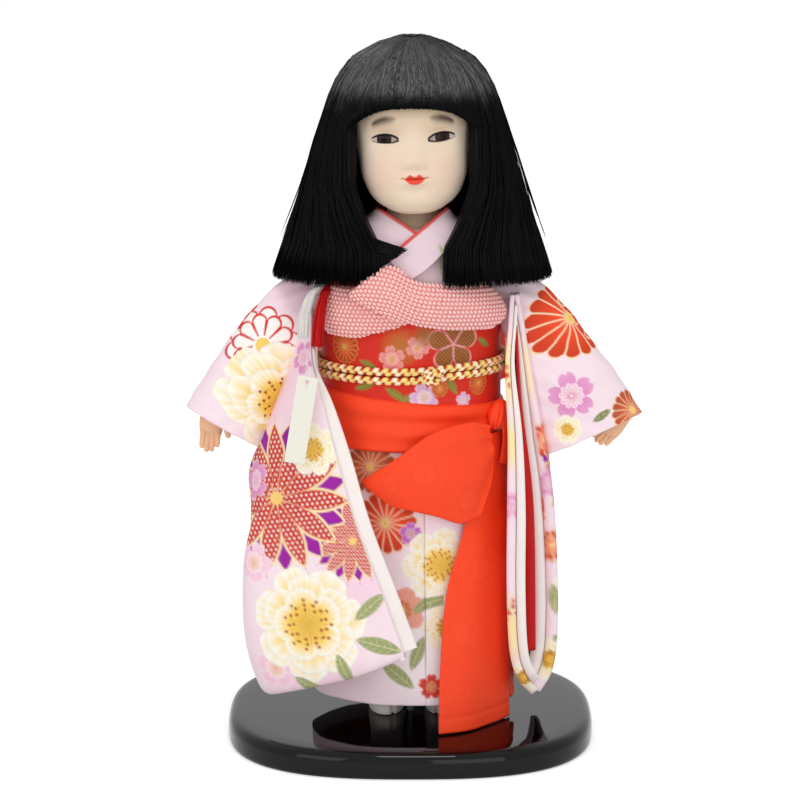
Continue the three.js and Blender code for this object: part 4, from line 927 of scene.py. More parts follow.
def hemmed(points: Points, near: Points | float, far: Points | float) -> Grid:
    """A closed sheet over a grid: a skin on each side, joined in a rounded edge all round.

    Args:
        points: Grid of points that the sheet follows.
        near: Distance of the first skin along the grid's normals, for each column or point.
        far: Distance of the second skin the other way.
    Returns:
        A wrapped surface of both skins.
    """
    normal = Grid(points).normals()
    near, far = (np.broadcast_to(side, points.shape[:2])[..., None] for side in (near, far))
    first, second = points + normal * near, points - normal * far
    middle = (first + second) / 2
    turn = np.linspace(0, np.pi, CAP + 2)[1:-1, None]
    ends = []
    for edge, inner in ((0, 1), (-1, -2)):
        away = points[:, edge] - points[:, inner]
        away *= 0.3 * (near + far)[:, edge] / np.maximum(np.linalg.norm(away, axis=1, keepdims=True), 1e-6)
        core = middle[:, None, edge]
        cap = core + np.cos(turn) * (first - middle)[:, None, edge] + np.sin(turn) * away[:, None]
        ends.append((cap, np.repeat(core, CAP, axis=1)))
    ring = joined(ends[0][0][:, ::-1], first, ends[1][0], second[:, ::-1], axis=1)
    flat = joined(ends[0][1], middle, ends[1][1], middle[:, ::-1], axis=1)
    return Grid(joined(flat[:1], ring, flat[-1:]), True)


@dataclass
class LacquerBoard:
    """The lacquered board and the rod on it."""

    width: float = 222.0
    depth: float = 200.0
    squareness: float = 2.7
    section: Table = (
        (3.0, 0.0), (1.2, 0.5), (0.3, 2.0), (0.0, 4.5), (0.0, 8.0), (0.15, 10.5), (0.9, 12.9), (2.4, 14.7),
        (4.6, 15.7), (7.0, STAND_HEIGHT))
    rows: int = 48
    flat_rings: int = 11
    sides: int = 200

    def build(self) -> None:
        """Carries the edge's rounded section round a squared oval, closed above and below."""
        rise = shares(self.flat_rings + 1)
        share = joined(rise[:-1], np.ones(self.rows), rise[-2::-1])[:, None]
        section = curve(self.section, shares(self.rows))
        inset, height = np.pad(section, ((self.flat_rings, self.flat_rings), (0, 0)), "edge").T[..., None]
        s, c = oval(whole_turn(self.sides), self.squareness)
        points = stacked((self.width / 2 - inset) * share * s, (self.depth / 2 - inset) * share * c, height)
        put("lacquer_board", Grid(points[::-1], True), LACQUER, "stand_base", "stand", 0.0)
        dress(STEEL, "support_post", "post_flange", *(f"flange_screw_{number}" for number in (1, 2, 3)))


@dataclass
class DollBody:
    """Torso, legs and feet under the dress, and the breast that shows above the collar."""

    foot_length: float = 37.0
    heel: float = 12.0
    foot_half: float = 10.8
    spread: float = 17.0
    middle: float = 2.5
    sock: Table = (
        (0.6, 0.94), (0.4, 1), (3, 1.04), (6, 1.03), (11, 0.9), (17, 0.62), (23, 0.5), (28, 0.5), (28, 0.44))
    breast: Table = (
        (288, 30, 27, 24), (294, 26, 25, 20), (300, 21, 22, 17), (305, 17.5, 18, 15), (309, 14.6, 15.5, 13))

    def build(self) -> None:
        """Dresses the hidden solids and builds the socks and the breast."""
        dress(COMPOSITION, "torso", "right_arm", "left_arm")
        dress(SKIN, "right_leg", "left_leg")
        for name, side in SIDES:
            self._sock(name, side)
        self._breast()

    def _sock(self, name: str, side: int) -> None:
        """A sock: ovals stacked from sole to ankle, parted between the big toe and the rest."""
        rows = curve(self.sock, shares(50))
        height, share = joined([(rows[0, 0], 0.0)], rows)[::-1].T[..., None]
        x, y = oval(whole_turn(96), 2.2)
        toes = (self.foot_length - self.heel) * share**1.6
        reach = np.where(y < 0, toes, self.heel * np.minimum(share * 1.6, 1))
        part = 1 - 0.16 * bell(x + side * 0.35, 0, 0.07) * (y < -0.5) * smoothstep(-height, -16, -9)
        wide = x * self.foot_half * (0.75 + share / 4) * np.minimum(share * 4, 1)
        points = stacked(self.middle + side * self.spread + wide, y * reach * part, height)
        put(f"{name}_sock", Grid(points, True), COTTON, f"{name}_tabi")

    def _breast(self) -> None:
        """The breast and nape that rise to the neck, a stack of narrowing ovals."""
        z = np.linspace(309, 288, 40)
        a, front, back = profile(self.breast, z).T[..., None]
        x, y = oval(whole_turn(72), 2)
        points = stacked(2.2 + a * x, -1 + np.where(y < 0, front, back) * y, z[:, None])
        put("breast", Grid(points, True), SKIN, "neck_socket")


@dataclass
class Kimono:
    """The printed dress: bodice, skirt, overlapping panel, under-skirt and collars."""

    bodice: Table = (
        (189, 48.5, 40), (246, 48.3, 40.6), (269, 46.5, 43.5), (284, 40, 42), (293, 32, 38.5), (299, 26, 34))
    skirt: Table = (
        (183, 50, 42), (168, 51.5, 43.5), (134, 54, 45.5), (84, 57, 47.5), (44, 59.5, 49.5), (14, 61, 50.5))
    folds: int = 9
    fold_depth: float = 1.1
    collar_left: Net = (
        ((-1, 19, 305), (-1, 26, 297)), ((16, 14, 306.5), (25, 17, 297.5)), ((21, -8, 307), (31.5, -9, 297)),
        ((20.5, -25, 310), (28.5, -31, 296)), ((10, -35, 302.5), (21, -41.5, 289)),
        ((-5, -41.5, 291), (9, -45.5, 278)), ((-13, -43, 282), (-1, -45.5, 271)))
    collar_right: Net = (
        ((-2.4, 19, 305), (-2.4, 26, 297)), ((-16, 14, 306.5), (-25, 17, 297.5)),
        ((-20, -8, 307), (-30.5, -9, 297)), ((-18, -25, 309.5), (-27.5, -31, 296)),
        ((-7, -34, 304), (-19, -41, 290)), ((5, -38, 296.5), (-8, -42, 283)))
    under_collar: Net = (
        ((2.2, 17, 305), (2.2, 17, 298)), ((14.5, 12, 306), (15.5, 13, 298)),
        ((19.4, -6, 306.3), (20, -6, 298)), ((18, -24, 304), (18, -24, 296)),
        ((3, -34.5, 295), (3, -34, 287)))

    def build(self) -> None:
        """Builds every garment in order."""
        self._bodice()
        self._skirt()
        self._overlap()
        self._under_skirt()
        self._collars()

    def printed(self, name: str, grid: Grid) -> None:
        """Prints a garment's cloth and puts it in the place of its solid."""
        cloth = Canvas(grid, GROUND).place(SKIRT_MOTIFS).done()
        put(f"printed_{name}", cloth, PRINT, f"kimono_{name}")

    def wrapped(self, table: Table, z: Points, turns: Points, out: Points) -> Points:
        """Points of a garment that follows a table of half widths and depths.

        Args:
            table: Rows of height, half width, half depth.
            z: Heights, from top to bottom.
            turns: Turns about the body in degrees.
            out: Distance off the table's oval, for each height and turn.
        Returns:
            Array of heights, turns, x y z.
        """
        a, b = profile(table, z).T[..., None]
        turn = np.radians(turns)
        return stacked((a + out) * np.sin(turn), -(b + out) * np.cos(turn), z[:, None])

    def _bodice(self) -> None:
        """The bodice: stacked ovals with the breast's slight crossing folds."""
        z = np.linspace(299, 189, 66)
        turns = np.linspace(-180, 180, 160, endpoint=False)
        grid = Grid(self.wrapped(self.bodice, z, turns, -0.4), True)
        grid = grid.push(0.5 * ripple(grid.points, 38))
        self.printed("bodice", grid)

    def fall(self, z: Points, turns: Points) -> Points:
        """Depth of the skirt's hanging folds, growing from waist to hem."""
        drop = np.clip((183 - z) / 166, 0, 1)[:, None]
        turn = np.radians(turns)[None]
        soft = 0.35 * np.sin(5 * turn + 1.2) + 0.25 * np.sin(17 * turn + 0.02 * z[:, None])
        return -self.fold_depth * drop * (0.5 + 0.5 * np.cos(self.folds * turn) - soft * 0.6)

    def _skirt(self) -> None:
        """The skirt: stacked ovals with hanging folds and a turned-in hem."""
        z = joined(np.linspace(183, 14, 170), (13.7, 14.2, 17.0, 23.0))
        turns = joined(np.arange(-84, 84, 0.72), np.arange(84, 276, 1.6))
        out = self.fall(z, turns)
        out[-4:] += np.array((-0.5, -1.3, -1.6, -1.6))[:, None]
        grid = Grid(self.wrapped(self.skirt, z, turns, out), True)
        self.printed("skirt", grid)

    def _overlap(self) -> None:
        """The front panel that closes over the skirt, a thin sheet with a straight edge."""
        z = np.linspace(167.6, 14.2, 180)
        turns = np.linspace(9, 58, 64)
        points = self.wrapped(self.skirt, z, turns, 1.2 + 0.35 * self.fall(z, turns))
        grid = hemmed(points, 0.65, 0.65)
        self.printed("overlap", grid)

    def _under_skirt(self) -> None:
        """The red under-skirt, stacked ovals inside the skirt."""
        z = joined(np.linspace(183, 22, 36), (21.6, 22.0, 24.0))
        turns = np.linspace(-180, 180, 120, endpoint=False)
        inset = -(2.7 + 4.3 * np.clip((183 - z) / 166, 0, 1))
        inset[-3:] -= (0.4, 1.2, 1.5)
        points = self.wrapped(self.skirt, z, turns, inset[:, None])
        put("red_under_skirt", Grid(points, True), RED_SILK, "under_skirt")

    def _collars(self) -> None:
        """Two collar bands with a coral edge, and the red band inside them."""
        coral, silk, across = linear(220, 84, 78), linear(232, 208, 216), shares(30)
        stripe = joined(np.zeros(CAP), across, np.ones(CAP), across[::-1])
        for name, edges, out in (("left", self.collar_left, 0.9), ("right", self.collar_right, -0.2)):
            grid = hemmed(patch(edges, shares(140), across) - out * BACKWARD, 0.85, 0.85)
            tint = Canvas(grid, silk).place(SKIRT_MOTIFS).done().tint
            edging = np.broadcast_to(1 - smoothstep(stripe, 0.06, 0.095), tint.shape[:2])
            grid.painted(blend(tint, coral, edging))
            put(f"collar_band_{name}", grid, PRINT, f"collar_{name}")
        inner = np.array(self.under_collar, float)
        mirrored = inner[:0:-1] * np.array((-1, 1, 1)) + np.array((4.4, 0, 0))
        points = patch(joined(mirrored, inner), shares(160), shares(12))
        put("under_collar_band", hemmed(points, 0.5, 0.5), RED_SILK, "under_collar")


@dataclass
class ObiSet:
    """The obi with its back bow, the tie-dyed obiage and the braided cords."""

    bottom: float = 184.0
    top: float = 246.0
    bow_width: float = 118.0
    bow_height: float = 62.0
    bow_depth: float = 20.0
    knot_width: float = 22.0
    knot_depth: float = 24.0
    bow_rise: float = 38.0
    bow_seat: float = 50.1
    tail_width: float = 40.0
    tail_length: float = 70.0
    braid_radius: float = 2.2
    braid_height: float = 216.5
    dapple_pitch: float = 2.8
    dapple_height: float = 1.35
    obiage_depth: float = 5.5
    obiage_lean: float = 3.0
    obiage_left: Table = (
        (-59, 4.6, 253, 9), (-52, 4.5, 252.5, 14.5), (-40, 4, 252, 15.5), (-20, 3, 253, 13), (0, 2.5, 254, 7))
    obiage_right: Table = (
        (-33, 6, 264, 3), (-25, 7.5, 266, 9), (-10, 8, 265, 15), (5, 7.5, 258, 12.5), (30, 5, 255, 13.5),
        (48, 5.2, 254, 12.5), (60.5, 4.6, 253, 8.5))

    def build(self) -> None:
        """Builds the obi, its bow, the obiage and the cords."""
        self._obi()
        self._bow()
        self._obiage("obiage_right", self.obiage_right)
        self._obiage("obiage_left", self.obiage_left)
        self._braids()

    def woven(self, grid: Grid) -> Grid:
        """Brocade colours: a red ground with fine slanting gold threads and the woven motifs."""
        p = grid.points
        thread = 0.5 + 0.5 * np.sin((p[..., 0] + p[..., 2]) * 2.4) * np.sin((p[..., 0] - p[..., 2]) * 2.4)
        ground = blend(linear(214, 33, 22), linear(230, 70, 40), 0.5 * thread)
        return Canvas(grid, ground).place(OBI_MOTIFS).done()

    def _obi(self) -> None:
        """The obi: an oval wall whose two edges roll inwards."""
        roll, inwards = np.array((3, 0.5, 0)), np.array((-3.5, -3.0, -1.2))
        wall = np.linspace(self.top - 0.8, self.bottom + 0.8, 92)
        z = joined(self.top - roll, wall, self.bottom + roll[::-1])
        out = joined(inwards, 0 * wall, inwards[::-1])
        turns = np.degrees(closer_in_front(np.pi / 2, 250, 130))
        grid = Grid(around(stacked(turns, out[:, None], z[:, None]), OBI_HALF), True)
        grid = grid.push(0.25 * ripple(grid.points * np.array((1, 1, 0.2)), 30))
        put("brocade_obi", self.woven(grid), BROCADE, "obi")

    def _bow(self) -> None:
        """The back bow: two puffed wings, a knot across them and a hanging tail."""
        turn = whole_turn(160)
        u, v = oval(turn, 2.6)
        middle, level = self.bow_seat + self.bow_depth / 2, self.bottom + self.bow_rise
        half, narrow = self.bow_width / 2, self.knot_width / 2
        rows = curve((
            (narrow - 3, 0.42, 0.6), (narrow + 2, 0.52, 0.75), (0.6 * half, 0.85, 1), (0.88 * half, 1, 0.95),
            (half - 1.5, 0.97, 0.6), (half, 0.9, 0.3), (half - 0.5, 0.3, 0.1), (half - 0.5, 0.01, 0.01),
        ), shares(60))
        x, tall, deep = rows.T[..., None]
        gather = 1 + 0.14 * np.sin(7 * turn + 0.6) * (1 - 0.8 * x / half).clip(0, 1)
        for name, side in reversed(SIDES):
            y = middle - v * deep * gather * self.bow_depth / 2
            z = level + u * tall * gather * self.bow_height / 2
            wing = Grid(stacked(side * x, y, z)[:, ::-side], True)
            put(f"bow_wing_{name}", self.woven(wing), BROCADE, f"obi_bow_{name}")
        share = joined([1], np.linspace(1, -1, 60), [-1])[:, None]
        size = np.sqrt(1 - 0.5 * share**2)
        size[[0, -1]] = 0.01
        x = narrow * u * np.where(size < 0.1, 0.01, 1 - 0.08 * (1 - share**2))
        y = self.bow_seat + self.knot_depth / 2 + v * size * self.knot_depth / 2
        knot = Grid(stacked(x, y, level + share * self.bow_height * 0.27), True)
        put("bow_knot", self.woven(knot), BROCADE, "obi_bow_knot")
        t, s = np.meshgrid(shares(70), np.linspace(1, -1, 40), indexing="ij")
        top = level - self.bow_height * 0.27 - 0.4
        x = s * self.tail_width / 2 * np.minimum(0.6 + t, 1)
        y = BAND_HALF[1] + 5 + 3 * t - 3 * s**2 + 0.8 * np.sin(5 * s) * t
        tail = hemmed(stacked(x, y, top - t * self.tail_length), 1.2, 1.2)
        made = put("bow_tail", self.woven(tail), BROCADE, "obi_bow_tail")

    def _obiage(self, name: str, rows: Table) -> None:
        """A puffed lobe whose surface rises in rows of small tied points."""
        angle = closer_in_front(1.9, 120, 30)
        turn, out, middle, half = curve(rows, shares(250)).T[..., None]
        out = out + self.obiage_depth * np.cos(angle) - self.obiage_lean * np.sin(angle)
        girth = half * np.sin(angle)
        grid = Grid(around(stacked(turn, out, middle + girth), OBI_HALF), True)
        row = girth / (0.86 * self.dapple_pitch)
        column = run(grid.points[:, 60])[:, None] / self.dapple_pitch + 0.5 * (np.round(row) % 2) + 0.18 * row
        off = self.dapple_pitch * np.hypot(column - np.round(column), (row - np.round(row)) * 0.86)
        peak = np.clip(1 - off / (0.56 * self.dapple_pitch), 0, 1)
        fade = np.minimum(1, np.minimum(np.arange(250), np.arange(250)[::-1]) / 10)[:, None]
        soft = 0.5 * ripple(grid.points, 24)
        grid = grid.push((self.dapple_height * (peak - 0.3) + soft) * fade)
        tint = blend(linear(214, 92, 88), linear(252, 206, 202), smoothstep(peak, 0.0, 0.5))
        put(f"dappled_{name}", grid.painted(tint), DAPPLED, name)

    def braided(self, path: Points, radius: float, plait: float) -> Grid:
        """A round braid: cream lumps from either edge in turn, with red between them.

        Args:
            path: Middle line.
            radius: Mean radius.
            plait: Length of one plait.
        Returns:
            A wrapped surface.
        """
        angle = whole_turn(22)
        length, tall = run(path)[:, None], np.sin(angle)
        wave = np.cos(2 * np.pi * length / plait - 0.9 * tall) * np.tanh(4 * tall)
        height = 0.5 * smoothstep(wave, -0.7, 0.4) - 0.35
        along = unit(np.gradient(path, axis=0))
        deep = unit(np.cross(along, UPWARD))
        ring = np.cos(angle)[:, None] * deep[:, None] + tall[:, None] * np.cross(deep, along)[:, None]
        points = path[:, None] + (radius + height)[..., None] * ring
        turns = np.sin(np.pi * length / plait + np.pi / 2 * (tall > 0))
        bright = blend(linear(253, 246, 214), linear(248, 224, 138), smoothstep(turns, -0.3, 0.3))
        tint = blend(linear(216, 176, 88), bright, smoothstep(wave, -0.5, 0.5))
        tint = blend(tint, linear(212, 36, 22), 1 - smoothstep(wave, -0.75, -0.5))
        return Grid(points[::-1], True, tint[::-1])

    def _braids(self) -> None:
        """Two braids round the obi, parted on the right and together on the left, and their knot."""
        turn = np.linspace(0, 360, 740)
        share = 0.5 + 0.5 * np.tanh(np.sin(np.radians(turn - 12)) * 4)
        off = self.braid_radius + 0.4
        low = self.braid_height - self.braid_radius - 0.4
        high = self.braid_height + self.braid_radius
        sunk = self.braid_height - 5.4
        for name, right, left in (("upper", self.braid_height, high), ("lower", sunk, low)):
            path = around(stacked(turn, off, right + (left - right) * share), OBI_HALF)
            braid = self.braided(path, self.braid_radius, 5.6)
            put(f"braid_{name}", braid, BRAID, f"obijime_{name}")
        middle = around(np.array((12.0, 2 * self.braid_radius + 2.6, self.braid_height - 1.8)), OBI_HALF)
        t = np.linspace(0, 2 * np.pi, 260)
        loop = middle + stacked(4.2 * np.sin(t), -0.9 * np.cos(2 * t), 3.4 * np.cos(t))
        s = np.linspace(-1, 1, 160)
        cross = middle + stacked(6.4 * s, -1.6 + 1.4 * s**2, 3.0 * s + 0.8)
        parts = [self.braided(loop, 1.7, 4.4), self.braided(cross, 1.7, 4.4)]
        put("braid_knot", parts, BRAID, "obijime_knot")


@dataclass
class ShigokiSash:
    """The satin sash: waist band, knot, loop and two tails, and the tassels above it."""

    band_bottom: float = 168.0
    band_top: float = 198.0
    band_tilt: float = 5.0
    loop: Net = (
        ((-27.5, 6.15, 151.5), (-8, 8.15, 166.5), (11, 8.15, 181.5), (32, 7.65, 186.5), (47, 6.65, 183)),
        ((-23.5, 7.15, 147.5), (-4.5, 9.65, 154.5), (15, 9.65, 160.5), (34.5, 9.15, 160), (49, 7.65, 155)),
        ((-10.5, 6.65, 137.5), (0.5, 8.15, 135.5), (14, 8.65, 131.5), (27.5, 8.15, 126), (40, 7.15, 129.5)))
    long_tail: Net = (
        ((38, 2.4, 176), (50, 2.4, 176), (62, 2.4, 176), (71, 2.4, 176)),
        ((36, 2.6, 148), (49, 2.6, 148), (61, 2.6, 148), (71, 2.6, 148)),
        ((31.5, 3.5, 122), (46, 4, 122), (60, 3.5, 122), (72, 3, 122)),
        ((20, 6, 85), (38, 7.5, 85), (56, 6, 85), (70, 4.5, 85)),
        ((15, 11, 40), (32, 12, 40), (50, 9.5, 40), (66, 7, 40)),
        ((13, 17, 0.8), (30, 16, 0.8), (48, 12, 0.8), (63, 9, 0.8)))
    short_tail: Net = (
        ((74, 1.6, 172), (78, 1.6, 172), (82, 1.6, 172)), ((74, 2.8, 90), (78, 2.8, 90), (82, 2.8, 90)),
        ((72, 6.6, 10), (77, 6.6, 8), (82, 6.6, 10)))
    under_knot: Net = (
        ((58, 7, 184), (66, 6, 186)), ((60, 7, 172), (70, 5, 173)), ((58, 6, 158), (68, 5, 156)))
    threads: int = 170
    cord: Table = ((-58, 4.2, 266.6), (-48, 3.8, 267.2), (-36, 3.6, 267.4), (-22, 3.4, 266.8))
    white: Table = (
        (-50.5, -27, 267.4, 1.4), (-58, -36, 261, 2.7), (-62, -43, 250, 3.2), (-63, -46, 238.5, 3.3))
    red: Table = (
        (-48, -30, 267, 1.6), (-51.5, -38.5, 258, 2.8), (-53.5, -45.5, 247, 3.6), (-54.5, -49, 234, 4.0))

    def build(self) -> None:
        """Builds the sash from the waist down, then the tassels."""
        self._band()
        self._knot()
        self._loop()
        self._tails()
        self._tassels()

    def satin(self, grid: Grid) -> Grid:
        """Satin colours: one orange-red with flowers woven in nearly the same tone."""
        return Canvas(grid, linear(252, 72, 34)).place(SASH_MOTIFS).done()

    def _band(self) -> None:
        """The waist band: an oval wall with gathers that fan out from the knot."""
        t = shares(50)[:, None]
        turns = np.linspace(-180, 180, 260, endpoint=False)
        top = self.band_top - self.band_tilt * np.sin(np.radians(turns))
        z = top + t * (self.band_bottom - top)
        gather = -1.0 * (0.5 - 0.5 * np.cos(2 * np.pi * 2.5 * (1 - t)))
        crease = 0.5 * np.sin(2 * np.pi * (1.7 * t + 0.006 * turns)) * np.sin(np.pi * t)
        edge = -1.8 * (bell(t, 0, 0.02) + bell(t, 1, 0.02))
        out = gather + crease + edge
        grid = Grid(around(stacked(turns, out, z)), True)
        put("sash_band", self.satin(grid), SATIN, "shigoki_band")

    def _knot(self) -> None:
        """The knot: a lump of cloth with gathers round it, and a narrow fold under it."""
        theta = np.linspace(0.02, np.pi - 0.02, 60)[:, None]
        phi = whole_turn(90)
        ridge = 1 + 0.07 * np.sin(9 * phi + 3 * theta) * np.sin(theta)
        x = 8.0 * ridge * np.sin(theta) * np.sin(phi)
        y = -4.8 * ridge * np.sin(theta) * np.cos(phi)
        lump = stacked(*spun(x, y, 59), 8.4 * np.cos(theta) + 0.35 * x) + around((60.0, 3.2, 187.0))
        fold = patch(around(self.under_knot), shares(50), shares(24))
        fold = Grid(fold).push(np.broadcast_to(1.2 * np.sin(np.pi * shares(24)), fold.shape[:2])).points
        parts = [self.satin(Grid(lump, True)), self.satin(hemmed(fold, 0.7, 0.7))]
        put("sash_knot", parts, SATIN, "shigoki_knot")

    def _loop(self) -> None:
        """The loop: a flat puffed fold of satin, thin at its edges and creased from the knot."""
        down, across = shares(76)[:, None], shares(120)
        middle = patch(around(self.loop), down[:, 0], across)
        fan = np.sin(9 * np.arctan2(down - 0.1, 1.15 - across) + 0.5) * np.clip(across - 0.1, 0, 1)
        normal = Grid(middle).normals()
        middle = middle + normal * (0.9 * fan)[..., None]
        swell = (np.sin(np.pi * down) * np.sin(np.pi * np.clip(across, 0.0, 0.92))) ** 0.4
        half = (0.4 + 2.0 * swell)[..., None]
        ring = joined(middle + normal * half, (middle - normal * half)[:, ::-1], axis=1)
        ends = [joined(row, row[::-1])[None] for row in (middle[0], middle[-1])]
        grid = Grid(joined(ends[0], ring, ends[1]), True)
        put("sash_loop", self.satin(grid), SATIN, "shigoki_loop")

    def _tails(self) -> None:
        """The hanging tails: sheets with a few long folds and a stitched hem."""
        down = shares(150)
        for name, net, size, columns, fold in (
            ("long", self.long_tail, (0.056, 0.186), 64, 1.2),
            ("short", self.short_tail, (0.0115, 0.165), 20, 0.3),
        ):
            across = shares(columns)
            middle = patch(around(net), down, across)
            wave = np.sin(2 * np.pi * (1.1 * across + 0.15)) * smoothstep(down, 0.05, 0.6)[:, None]
            hem = 0.35 * bell(down, 0.955, 0.006)[:, None]
            grid = hemmed(Grid(middle).push(fold * wave - hem).points, 0.55, 0.55)
            made = put(f"sash_{name}_tail", self.satin(grid), SATIN, f"shigoki_{name}_tail")

    def _tassels(self) -> None:
        """The cord over the obiage and the two tassels, each a bound head and loose threads."""
        at = shares(90)
        path = curve(around(self.cord, OBI_HALF), at)
        angle = whole_turn(3)[:, None] + 30 * at
        side = np.cross(unit(np.gradient(path, axis=0)), UPWARD)
        twist = np.cos(angle)[..., None] * side + np.sin(angle)[..., None] * UPWARD
        cord = Tubes(path + 0.75 * twist, 0.75, 8)
        put("tassel_cord_twist", cord, RED_THREAD, "tassel_cord")
        count, at, wound = self.threads, shares(16), np.linspace(0, 2 * np.pi * 5, 120)
        for name, rows, finish, seed in (("white", self.white, THREAD, 3), ("red", self.red, RED_THREAD, 4)):
            rng = np.random.default_rng(seed)
            line = curve(rows, at)
            spot = np.sqrt(rng.random((count, 1))) * line[:, 3] * 0.95
            turn = rng.random((count, 1)) * 2 * np.pi + rng.normal(0, 0.25, (count, 1)) * at
            paths = line[:, :3] + stacked(spot * np.cos(turn), spot * np.sin(turn), 0)
            paths[:, :, 2] -= rng.random((count, 1)) * 1.6 * at**3
            core = curve(rows, np.linspace(0.14, 0.26, 120))
            ring = core[:, :3] + (core[:, 3:] + 0.2) * stacked(np.cos(wound), np.sin(wound), 0)
            parts = [Tubes(paths, 0.24), Tubes(ring[None], 0.4, 6)]
            put(f"tassel_{name}_threads", parts, finish, f"tassel_{name}")


@dataclass(frozen=True)
class FacePaint:
    """Display colours of the face, from the ground to the last line laid on it, with painted light and shade:
    the lighter sides, the bangs' shadow, and the shade in the sockets, the lid folds and the eye openings.
    """

    ivory: Triple = (233, 212, 188)
    # painted light: the lower face lightened at the sides, where the hair shades it
    painted_side_light: Triple = (250, 232, 210)
    # painted shadow of the bangs on the upper forehead
    painted_bangs_shadow: Triple = (204, 180, 152)
    blush: Triple = (238, 190, 168)
    # painted shade in the eye sockets
    socket: Triple = (198, 172, 140)
    # painted shade in the fold above each eye
    crease: Triple = (150, 112, 88)
    brow: Triple = (58, 47, 37)
    lid: Triple = (7, 5, 5)
    painted_opening_shade: Triple = (24, 18, 16)
    # painted shade on the sunk skin inside the eye openings
    lip: Triple = (234, 84, 62)
    mouth: Triple = (176, 40, 34)
    neck: Triple = (248, 226, 200)


@dataclass
class DollHead:
    """The head: face, glass eyes, neck and bobbed hair."""

    head: Table = (
        (308.0, 0.3, 30, -28), (308.3, 5.5, 35, -24), (309.3, 11, 39.5, -18), (311.3, 16, 42, -13),
        (315.5, 22.4, 44, -7), (320.5, 26.8, 45.3, 0), (330, 30.8, 46.6, 10), (342, 32.8, 46.8, 22),
        (354, 34.6, 46, 31), (366, 36.5, 45.5, 36), (382, 34, 40, 34), (394, 25, 27, 24), (400.5, 8, 10, 8))
    relief: Table = (
        (1.0, 333, 11, -20, 11), (1.0, 333, 11, 20, 11), (0.6, 338.4, 2.6, -4.2, 2.6),
        (0.6, 338.4, 2.6, 4.2, 2.6), (1.7, 332.6, 1.9, 0, 5.2), (1.9, 328.4, 1.8, 0, 5.0),
        (-1.3, 330.4, 0.7, 0, 7.0), (-0.4, 334.6, 1.6, 0, 1.6), (1.3, 315.5, 6, 0, 11),
        (-0.7, 323.5, 2.4, 0, 8))
    paint: FacePaint = FacePaint()
    middle_x: float = 3.2
    roll: float = 2.3
    eye_spread: float = 16.2
    eye_height: float = 352.9
    eye_y: float = -38.6
    eye_half: Triple = (9.5, 5.6, 2.4)
    eye_turn: float = 17.0
    neck_radius: float = 12.0
    hair: Table = (
        (409.5, 0.5, 0.5, 0.5), (408.6, 9, 9, 9), (405, 20, 19, 20), (397, 34.5, 34, 34), (386, 43.5, 45, 43),
        (374, 49, 51, 48), (360, 53.5, 53, 52), (344, 58.5, 53.5, 55), (322, 64.5, 53, 58), (298, 72, 53, 61),
        (281, 78, 52.5, 63), (266, 83, 52, 64))
    hair_power: float = 2.35
    lock_turn: Table = ((262, 10), (290, 12.5), (312, 25), (326, 33.5), (342, 37), (361, 43.5))
    back_turn: float = 122.0
    bangs_turn: float = 46.0
    bangs_edge: float = 371.2
    bangs_drop: float = 17.5
    crown: float = 409.4
    strand_steps: int = 10
    side_strands: int = 1450
    back_strands: int = 1000
    bang_strands: int = 1450
    loose: int = 330
    flyaway: int = 16
    hem: float = 268.5
    form_black: Triple = (3, 3, 4)

    def build(self) -> None:
        """Builds the face, the eyes, the neck and the hair."""
        self._face()
        self._eyes()
        self._hair()

    def rolled(self, points: Points) -> Points:
        """Points of the upright head leaned over about the chin and set beside the middle."""
        chin = self.head[0][0]
        x, z = spun(points[..., 0], points[..., 2] - chin, self.roll)
        return stacked(x, points[..., 1], z) + np.array((self.middle_x, 0, chin))

    def lids(self, x: Points, z: Points, side: int) -> tuple[Points, Points]:
        """Signed depth inside one eye's opening, and the distance from its lid line.

        Args:
            x, z: Places on the face.
            side: -1 for the right eye, 1 for the left.
        Returns:
            Depth, positive inside the opening, and height above the middle line.
        """
        q = (x - side * self.eye_spread) / 7.9
        tilt = (0.29 * side + 0.3) * q
        upper = 2.8 * np.clip(1 - np.abs(q) ** 2.1, 0, 1) ** 0.9
        lower = 1.4 * np.clip(1 - np.abs(q) ** 2.4, 0, 1)
        level = z - self.eye_height - tilt
        return np.where(np.abs(q) < 1, np.minimum(upper - level, level + lower), -9.0), level

    def _face(self) -> None:
        """The head: stacked ovals, with lids, nose, cheeks, lips and chin raised on the front and the eye
        openings sunk.
        """
        scalp, chin = np.linspace(400.4, 376, 20), np.linspace(312.5, 308, 22)
        z = joined(scalp[:-1], np.linspace(376, 312.5, 170)[:-1], chin)
        angle = closer_in_front(1.25, 240, 42, True)
        a, front, back = profile(self.head, z).T[..., None]
        s, c = oval(angle, 2.45)
        x = a * s
        y = (back - front) / 2 + (front + back) / 2 * c
        h = np.broadcast_to(z[:, None], x.shape)
        face = np.where(c < -0.1, 1.0, 0.0)
        ahead = np.zeros_like(x)
        inside = np.full_like(x, -9.0)
        crease = np.zeros_like(x)
        for side in (-1, 1):
            depth, level = self.lids(x, h, side)
            inside = np.maximum(inside, depth)
            near = bell(x, side * self.eye_spread, 9.5)
            ahead -= 2.0 * near * bell(h, self.eye_height + 1, 7.5)
            ahead += 0.9 * near * bell(level, 4.6, 1.8) * (depth < 0)
            # share of the painted shade in the fold above each eye
            crease = np.maximum(crease, bell(x, side * self.eye_spread, 6.5) * bell(level, 5.8, 0.8))
        bridge = smoothstep(h, 333.5, 341) * (1 - smoothstep(h, 340, 364))
        ahead += 2.6 * bridge * bell(x, 0, 6.4)
        for rise, height, tall, middle, wide in self.relief:
            ahead += rise * bell(h, height, tall) * bell(x, middle, wide)
        ahead -= 4.2 * smoothstep(inside, -0.05, 0.5)
        tint = self._face_colours(x, h, inside, crease, face)
        skin = Grid(self.rolled(stacked(x, y - ahead * face, h)), True, tint)
        put("face", [skin, self._neck()], FACE, "head", "head")

